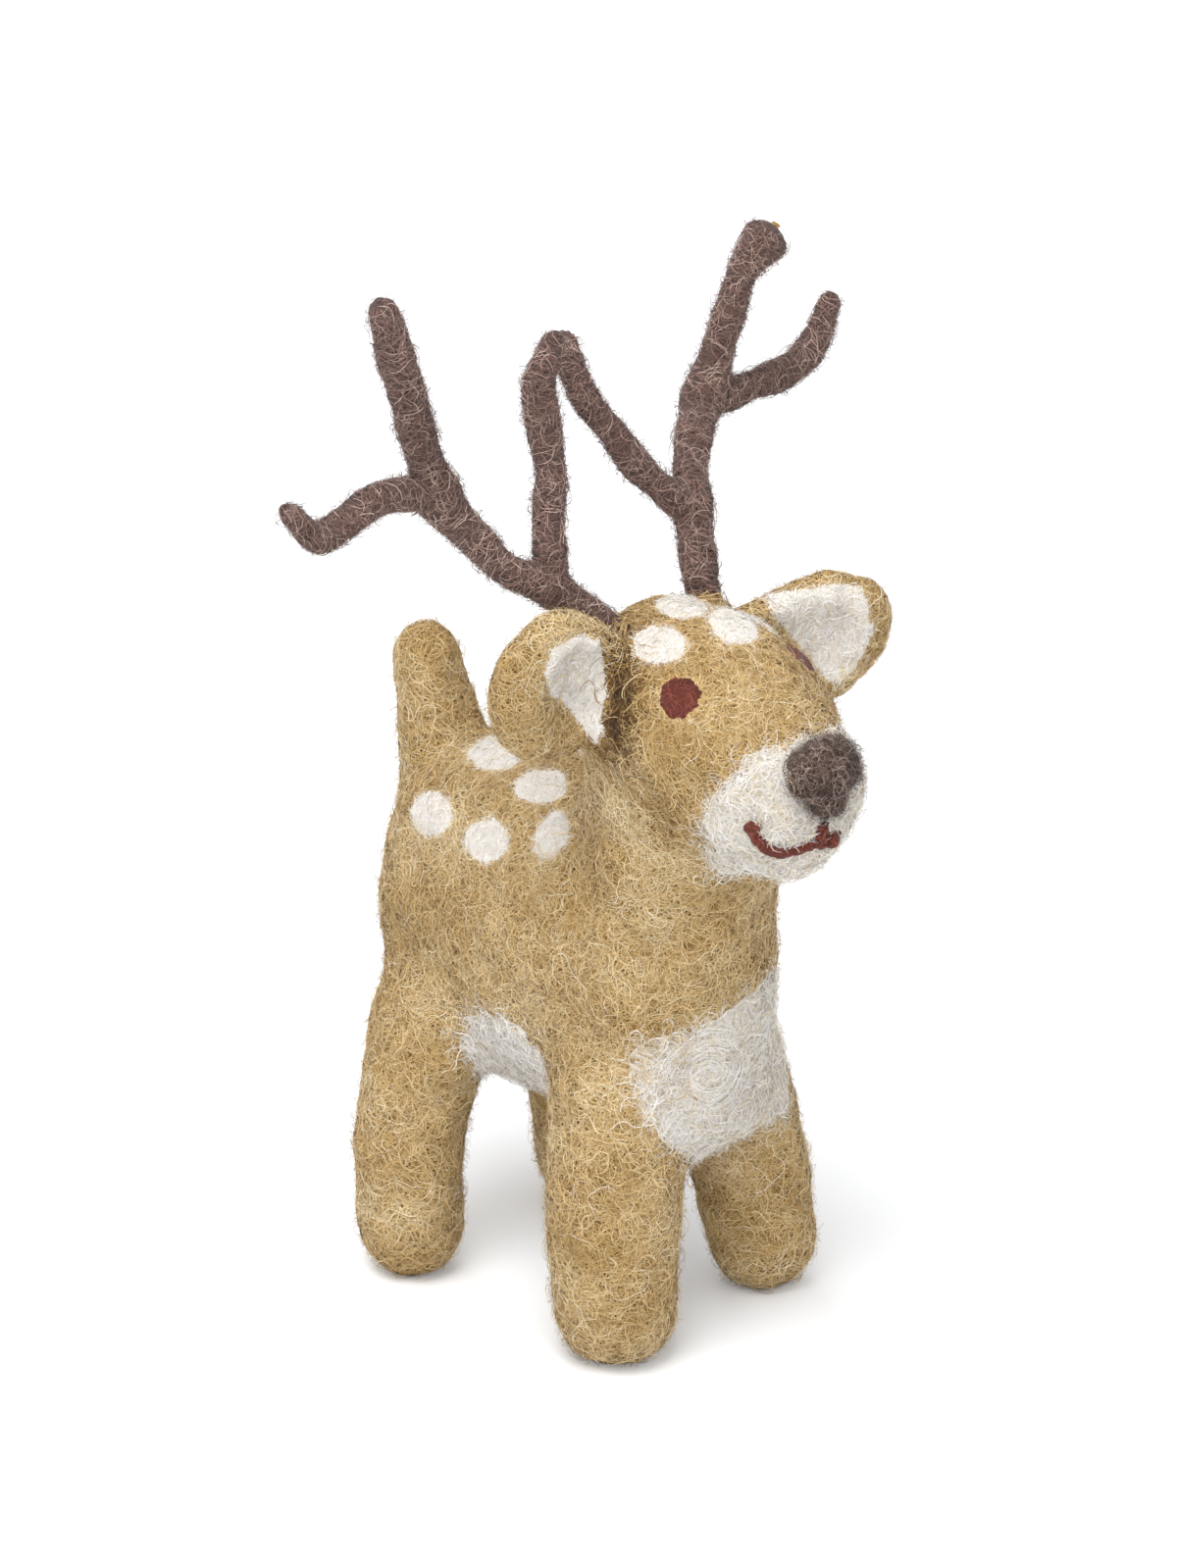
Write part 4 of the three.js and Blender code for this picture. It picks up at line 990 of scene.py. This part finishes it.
matted = 13.0, 4.2, 6, 0.55, 0.45, 0.3, 0.9, 0.085, 0.25, 0.55
fluffy = 8.0, 4.4, 5, 0.7, 0.4, 1.0, 1.7, 0.055, 0.3
pad_fibres("wisps_nose", [nose], dark_fibre, *matted)
pad_fibres("fluff_nose", [nose], dark_fibre, *fluffy)
print("nose:", len(nose.data.polygons), "faces")

# %% [markdown]
# The mouth is one strand of rust wool needled along the muzzle: a smile, and a short upright under the
# nose. Its points are aimed at the muzzle from in front, in the head's own turned frame, and each one
# stays where it meets the wool. Uneven thickness is what makes it look felted and not drawn.

# %% Mouth strand
cover = list(pads.values()) + [nose]
over_quads = [coat_faces] + [quads_of(piece) for piece in cover]
over_points, over_quads = joined([coat_points] + [points_of(piece) for piece in cover], over_quads)
over_tree = search_tree(over_points, over_quads)
head_turn = Matrix.Rotation(math.radians(-4.5), 3, "Z")
head_place = Vector((-0.223, -6.168, 0)) * MM


def on_muzzle(across, height):
    """The point of the muzzle straight ahead at these millimetres across and up, and its normal."""
    start = head_place + head_turn @ Vector((across, -70, 0)) * MM
    start.z = height * MM
    hit, normal, _, _ = over_tree.ray_cast(start, head_turn @ Vector((0, 1, 0)))
    return np.array(hit), np.array(normal)


def between(t, start, end, a, b):
    """The value at t on the straight line from a at start to b at end."""
    return (end - t) / (end - start) * a + (t - start) / (end - start) * b


def smooth_line(points, count):
    """A smooth line through points, with count points spread along it (centripetal Catmull-Rom)."""
    p = np.asarray(points, float)
    p = np.concatenate([[2 * p[0] - p[1]], p, [2 * p[-1] - p[-2]]])
    made = []
    for i in range(1, len(p) - 2):
        q = p[i - 1 : i + 3]
        spans = [max(np.linalg.norm(q[k + 1] - q[k]) ** 0.5, 1e-9) for k in range(3)]
        knots = np.cumsum([0] + spans)
        t = np.linspace(knots[1], knots[2], 24, endpoint=i == len(p) - 3)[:, None]
        a = [between(t, knots[k], knots[k + 1], q[k], q[k + 1]) for k in range(3)]
        b = [between(t, knots[k], knots[k + 2], a[k], a[k + 1]) for k in range(2)]
        made.append(between(t, knots[1], knots[2], b[0], b[1]))
    line = np.concatenate(made)
    run = np.concatenate([[0], np.cumsum(np.linalg.norm(np.diff(line, axis=0), axis=1))])
    at = np.linspace(0, run[-1], count)
    return np.stack([np.interp(at, run, line[:, k]) for k in range(3)], 1)


def tube(path, radius, sides):
    """Points and faces of a tube along a path. radius is one number or one for each point."""
    path = np.asarray(path)
    count = len(path)
    radius = np.broadcast_to(radius, count)
    along = unit(np.gradient(path, axis=0))
    u = np.empty_like(path)
    guide = np.array([0, 0, 1.0])
    side = unit(guide - along[0] * (along[0] @ guide))
    for k in range(count):
        side = unit(side - along[k] * (along[k] @ side))
        u[k] = side
    v = np.cross(along, u)
    angle = np.arange(sides) / sides * 2 * math.pi
    ring = u[:, None] * np.cos(angle)[None, :, None] + v[:, None] * np.sin(angle)[None, :, None]
    points = (path[:, None] + ring * radius[:, None, None]).reshape(-1, 3)
    first, here = np.arange(count - 1)[:, None] * sides, np.arange(sides)[None]
    k, beside = first + here, first + (here + 1) % sides
    faces = np.stack([k, beside, beside + sides, k + sides], -1).reshape(-1, 4)
    return points, faces


def slow_noise(along, *row):
    """Noise at each number in along, which runs smoothly. Another row gives another wave."""
    values = [noise.noise(Vector((x, *row))) for x in np.ravel(along).tolist()]
    return np.array(values).reshape(np.shape(along))


smile = [(-8.8, 81.6), (-8.5, 79.6), (-7.3, 77.9), (-5.5, 77.2), (-3.9, 77.6), (-2.4, 78.1), (-0.9, 77.8)]
smile += [(0.4, 77.9), (1.6, 78.4)]
upright = [(-1.3, 77.8), (-1.5, 79.2), (-1.7, 80.9)]
strands, PROUD, RINGS = [], 0.3, 60
for line, middle, corner in ((smile, 0.78, 1.25), (upright, 0.8, 0.95)):
    placed = []
    for across, height in line:
        hit, normal = on_muzzle(across, height)
        placed.append(hit + normal * PROUD * MM)
    k = np.arange(RINGS)
    thick = middle + (corner - middle) * np.abs(np.linspace(-1, 1, RINGS)) ** 1.5
    ends = np.clip(np.minimum(k, RINGS - 1 - k) / 4, 0.15, 1) ** 0.5
    uneven = 1 + 0.45 * slow_noise(k * 0.21, middle * 9, 1.5)
    strands.append(tube(smooth_line(placed, RINGS), thick * MM * uneven * ends, 10))
mouth = make_piece("wool_mouth", *joined(*zip(*strands)), rust_felt, "rust_wool", replaced=["mouth"])
short_hairs = 9.0, 2.0, 4, 0.5, 0.12, 0.1, 0.35, 0.095, 0.1
pad_fibres("wisps_mouth", [mouth], rust_fibre, *short_hairs)
print("mouth:", len(mouth.data.polygons), "faces")

# %% [markdown]
# Here and there one long pale hair has worked loose and lies in a wide curl over everything: across the
# nose, the muzzle and the flanks. They are few, and much of what makes the wool look real.

# %% Long pale hairs
CLEAR_OF_EYES = 3.2 * MM


def long_hairs(name, seeds, length_mm, steps, crimp):
    paths, normals, _ = walk(over_tree, seeds, length_mm, steps, crimp)
    clear = np.min([np.linalg.norm(paths - eye, axis=2).min(1) for eye in eye_places], 0) > CLEAR_OF_EYES
    paths, normals = paths[clear], normals[clear]
    heights = height_profile(len(paths), steps, 0.1, 0.4, 0.5, 1.1)
    tints = rng.random(len(paths))
    add_fibres(name, paths, normals, heights, pale_fibre, 0.065, tints)


coat_hairs, front_hairs = int(500 * DENSITY), int(150 * DENSITY)
long_hairs("hairs_coat", scatter(over_points, over_quads, coat_hairs), 13.0, 12, 0.34)
white_pads = [pads["muzzle_patch"], pads["chest_patch"], pads["belly_patch"]]
front = np.concatenate([points_of(o) for o in [nose] + white_pads])
long_hairs("hairs_front", front[rng.integers(0, len(front), front_hairs)], 10.0, 10, 0.4)

# %% [markdown]
# The antlers are yarn wound round wire, edge to edge, some four hundred turns in all. A texture can't
# show that from every side, so the yarn is a real coil: one long tube for each sleeve, which winds along
# the same route as the CAD sleeve. The routes are the source's own, as shares of reach, lean and rise.

# %% Antler routes
antlers = {
    "left": dict(
        sign=1,
        knuckles=[(2, 0.35, 2.2), (4, 0.5, 2.4), (7, 0.85, 3.0)],
        main=[(.03, 0, 0), (.1, .33, .19), (.22, .67, .31), (.37, .96, .37), (.47, .94, .57),
              (.55, .91, .71), (.62, .88, .77)],
        main_size=[0.95, 1.08, 0.95, 1.15, 0.95, 0.85, 1],
        inner=[(.1, .33, .19), (-.01, .5, .29), (-.17, .87, .52), (-.18, 1.1, .64)],
        outer=[(.37, .96, .37), (.56, 1, .35), (.88, 1.05, .38), (.98, 1.09, .48)],
        tine_size=[1, 0.96, 1.04, 0.8],
    ),
    "right": dict(
        sign=-1,
        knuckles=[(2, 0.35, 2.2), (4, 0.5, 2.4), (6, 0.3, 1.8)],
        main=[(.02, 0, .01), (.15, .33, .13), (.28, .55, .21), (.41, .96, .4), (.5, .93, .6),
              (.59, .91, .81), (.65, .88, .95)],
        main_size=[0.95, 1.08, 0.97, 1.15, 0.98, 1.05, 0.75],
        inner=[(.15, .33, .13), (.08, .53, .41), (.07, .67, .65), (-.01, .73, .72)],
        outer=[(.41, .96, .4), (.66, 1, .43), (.86, 1.06, .37), (.97, 1.09, .46)],
        tine_size=[1, 0.96, 1.1, 0.75],
    ),
}
MIDDLE, FOOT, REACH = (-0.223, -4.168, 97), 7.6, (41, 15, 50)


def antler_route(antler, shares):
    out, lean, rise = np.array(shares).T
    across = MIDDLE[0] + antler["sign"] * (FOOT + out * REACH[0])
    return np.stack([across, MIDDLE[1] + lean * REACH[1], MIDDLE[2] + rise * REACH[2]], 1) * MM


print("antler tips at", [tuple(np.round(antler_route(a, a["main"])[-1], 3)) for a in antlers.values()])

# %% [markdown]
# A coil that is perfectly even looks like a spring. So the pitch wavers, each turn rides a little higher
# or lower than the last, and now and then the yarn climbs over its neighbour. Where the antler forks, the
# yarn goes round several times more, and that makes the knuckle. A dark core fills what shows between
# the turns, and the last turns close over the tip. The antler bends a little by vector noise, which
# Blender starts from the clock, so it gets a seed of its own.

# %% Wound yarn
yarn_felt = felt("wound_yarn", (66, 48, 44), (138, 112, 105), (98, 74, 68), 4.0, 0.6, 0.4)
yarn_fibre = fibre_colour("yarn_fibre", (84, 59, 51), (126, 96, 87), (164, 135, 123), (224, 199, 186))
YARN, PITCH, TIP, TURN_STEPS = 0.6, 0.56, 1.7, 14
BEND_MM, BEND_SIZE, WAVER, RIDE = 0.45, 7 * MM, 1.1, 0.16
CORE_IN, CORE_RINGS, CORE_SIDES, YARN_SIDES = 0.3, 60, 16, 6
noise.seed_set(20)


def wind(route, sizes, thickness, knuckles, seed, from_start):
    """The coil's centreline, and the core's path and radii, all in metres."""
    if from_start < 0:
        route = np.concatenate([[route[0] + unit(route[1] - route[0]) * from_start * MM], route])
        sizes, from_start = [sizes[0]] + list(sizes), 0
    dense = smooth_line(route, 400)
    bends = [noise.noise_vector(Vector(p) / BEND_SIZE) for p in dense.tolist()]
    dense += np.array(bends) * BEND_MM * MM
    run = np.concatenate([[0], np.cumsum(np.linalg.norm(np.diff(dense, axis=0), axis=1))]) / MM
    total = run[-1]
    knots = np.array([np.argmin(np.linalg.norm(dense - p, axis=1)) for p in route])

    def body_radius(s):
        """How thick the wound antler is at these lengths along it: its own waver, and its knuckles."""
        radius = np.interp(s, run[knots], np.array(sizes) * thickness / 2)
        radius += slow_noise(s * 0.19, seed, 4.4) * 0.4
        for place, gain, spread in knuckles:
            radius += gain * np.exp(-(((s - run[knots[place]]) / spread) ** 2))
        return radius

    end_radius = float(body_radius(np.array([total]))[0])
    over_tip = math.pi / 4 * (end_radius + TIP)
    turns = int((total + over_tip - from_start) / PITCH)
    k = np.arange(turns * TURN_STEPS + 1)
    turned = k / TURN_STEPS
    waver = slow_noise(turned * 0.35, seed, 0.5)
    s = from_start + (turned + waver * WAVER) * PITCH
    s = np.clip(s, from_start, total + over_tip)
    angle = 2 * math.pi * k / TURN_STEPS + seed
    past = np.clip((s - total) / over_tip, 0, 1) * math.pi / 2
    radius = body_radius(np.minimum(s, total)) * np.cos(past) - 0.12
    radius += slow_noise(turned * 0.9, seed + 9, 2.5) * RIDE
    radius = np.maximum(radius, 0.05)
    at = np.minimum(s, total)
    centre = np.stack([np.interp(at, run, dense[:, c] / MM) for c in range(3)], 1)
    along = unit(np.stack([np.interp(at, run, np.gradient(dense[:, c])) for c in range(3)], 1))
    centre = centre + along * (TIP * np.sin(past))[:, None]
    guide = np.array([0, 1.0, 0])
    u = unit(guide - along * (along @ guide)[:, None])
    v = np.cross(along, u)
    out = u * np.cos(angle)[:, None] + v * np.sin(angle)[:, None]
    lean = along * np.sin(angle + seed)[:, None] * 0.12
    coil = (centre + out * radius[:, None] + lean) * MM
    core_s = np.linspace(from_start, total, CORE_RINGS)
    core = np.stack([np.interp(core_s, run, dense[:, c]) for c in range(3)], 1)
    core_radius = np.maximum(body_radius(core_s) - CORE_IN, 0.2)
    dome = np.linspace(0.15, 1, 6) * math.pi / 2
    cap = core[-1] + unit(core[-1] - core[-2]) * (np.sin(dome) * (TIP - CORE_IN) * MM)[:, None]
    core_radius = np.concatenate([core_radius, np.maximum(core_radius[-1] * np.cos(dome), 0.03)]) * MM
    return coil, np.concatenate([core, cap]), core_radius


def matted_hairs(core, core_radius, per_mm2, length_mm, steps):
    """Curly hairs that lie on an antler, mostly across it, as the wool was drawn when it was wound."""
    points, quads = tube(core, core_radius + 0.42 * MM, CORE_SIDES)
    tree = search_tree(points, quads)
    length = np.linalg.norm(np.diff(core, axis=0), axis=1).sum()
    count = int(length * 2 * math.pi * core_radius.mean() / MM ** 2 * per_mm2 * DENSITY)
    seeds = scatter(points, quads, count)
    _, normal, _ = nearest_on(tree, seeds)
    along = unit(np.gradient(core, axis=0))
    middle = np.linalg.norm(seeds[:, None] - core[None], axis=2).argmin(1)
    heading = np.cross(normal, along[middle]) + rng.normal(0, 0.6, (count, 3))
    paths, normals, _ = walk(tree, seeds, length_mm, steps, 0.35, heading)
    return paths, normals, height_profile(count, steps, -0.15, 0.25, 0.4, 1.0)


print("yarn", YARN, "mm thick, a turn every", PITCH, "mm")

# %% [markdown]
# Each antler has three sleeves. The main one goes a little way down into the head, and carries the
# knuckles. The tines start inside it. All three get a mat of curly hairs, because the yarn is hairy.

# %% Wind the antlers
hairs, feet_of_antlers = [], []
for side, antler in antlers.items():
    main_stands_for = ["antler_yarn_main_", "antler_binding_lower_", "antler_binding_upper_"]
    sleeves = (
        ("main", 4.15, antler["main_size"], antler["knuckles"], -2.6, main_stands_for),
        ("inner", 3.8, antler["tine_size"], [], 1.4, ["antler_yarn_inner_tine_"]),
        ("outer", 3.8, antler["tine_size"], [], 1.4, ["antler_yarn_outer_tine_"]),
    )
    for number, (part, thickness, sizes, knuckles, from_start, stands_for) in enumerate(sleeves):
        route = antler_route(antler, antler[part])
        seed = number * 3.3 + (0 if side == "left" else 1.7)
        coil, core, core_radius = wind(route, sizes, thickness, knuckles, seed, from_start)
        thick = YARN / 2 * MM * (1 + 0.22 * slow_noise(np.arange(len(coil)) * 0.11, seed, 8.0))
        points, faces = joined(*zip(tube(coil, thick, YARN_SIDES), tube(core, core_radius, CORE_SIDES)))
        name = "yarn_%s_%s" % (part, side)
        replaced = [n + side for n in stands_for]
        make_piece(name, points, faces, yarn_felt, "brown_yarn", replaced=replaced)
        hairs.append(matted_hairs(core, core_radius, 7.0, 4.2, 5))
        if part == "main":
            feet_of_antlers.append((core, core_radius))
        print(name, "turns:", len(coil) // TURN_STEPS)
paths, normals, heights = (np.concatenate(part) for part in zip(*hairs))
tints = rng.beta(1.4, 1.8, len(paths))
add_fibres("hairs_antlers", paths, normals, heights, yarn_fibre, 0.075, tints, 0.45)

# %% [markdown]
# Where an antler goes into the head, the needle has pulled tan wool up round its foot. These hairs start on
# the coat, in a ring round the antler, and climb a little way up it in a slow turn.

# %% Collars of tan hair
NEAR_HEAD = 40


def collar(core, core_radius, count):
    low = core[:NEAR_HEAD]
    place, normal, _ = nearest_on(coat_tree, low)
    leaves = np.argmax(((low - place) * normal).sum(1) > 0)
    foot = core[leaves]
    axis = unit(core[leaves + 3] - foot)
    u = unit(np.cross(axis, (0, 1.0, 0)))
    v = np.cross(axis, u)
    steps = 9
    t = np.linspace(0, 1, steps)[None]
    start = rng.uniform(0, 2 * math.pi, (count, 1))
    swirl = rng.normal(0, 1.3, (count, 1))
    far = rng.uniform(3.0, 4.6, (count, 1))
    rise = rng.uniform(0.3, 2.4, (count, 1))
    close = core_radius[:NEAR_HEAD].mean() / MM + rng.uniform(0.45, 0.9, (count, 1))
    angle, out = start + swirl * t, far + (close - far) * t ** 0.6
    ring = u * np.cos(angle)[..., None] + v * np.sin(angle)[..., None]
    paths = foot + (ring * out[..., None] + axis * (rise * t)[..., None]) * MM
    landed, _, _ = nearest_on(coat_tree, paths[:, 0])
    paths += (landed - paths[:, 0])[:, None] * (1 - t[..., None] ** 0.7)
    return paths, unit(ring + axis * 0.4)


collars = [collar(core, radius, int(150 * DENSITY)) for core, radius in feet_of_antlers]
paths, normals = (np.concatenate(part) for part in zip(*collars))
tints = rng.uniform(0.2, 0.9, len(paths))
add_fibres("collars", paths, normals, np.zeros(paths.shape[:2]), tan_fibre, 0.075, tints)

# %% [markdown]
# The wires keep their CAD solids, because a wire's shape is simple. All but one tip is inside the yarn.
# They get a brass finish with fine drawing marks from a stretched noise, and a little tarnish.

# %% Brass wire
brass, nt, skin = new_material("brass_wire", 0.32, 0.0)
skin.inputs["Metallic"].default_value = 1.0
marks = noise_node(nt, "FBM", new_node(nt, "TexCoord").outputs["Object"], 900, 3.0, 0.6)
tarnish = mix_colours(nt, marks, rgb(214, 176, 104), rgb(150, 112, 58))
rough = new_node(nt, "MapRange", {"Value": marks, "To Min": 0.2, "To Max": 0.5})
nt.links.new(tarnish, skin.inputs["Base Color"])
nt.links.new(rough.outputs[0], skin.inputs["Roughness"])
for name, node in nodes.items():
    if name.startswith("antler_wire"):
        for own in node.material_slots:
            own.link, own.material = "OBJECT", brass
print("brass wires:", sum(n.startswith("antler_wire") for n in nodes))

# %% [markdown]
# Last, the dressed deer's box is set beside the CAD box.

# %% Measure and finish
low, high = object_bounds()
sizes = {"cad": [list(c) for c in cad_box], "visual": [list(low), list(high)]}
print("CAD box   ", [tuple(round(x / MM, 1) for x in c) for c in cad_box])
print("visual box", [tuple(round(x / MM, 1) for x in c) for c in (low, high)])
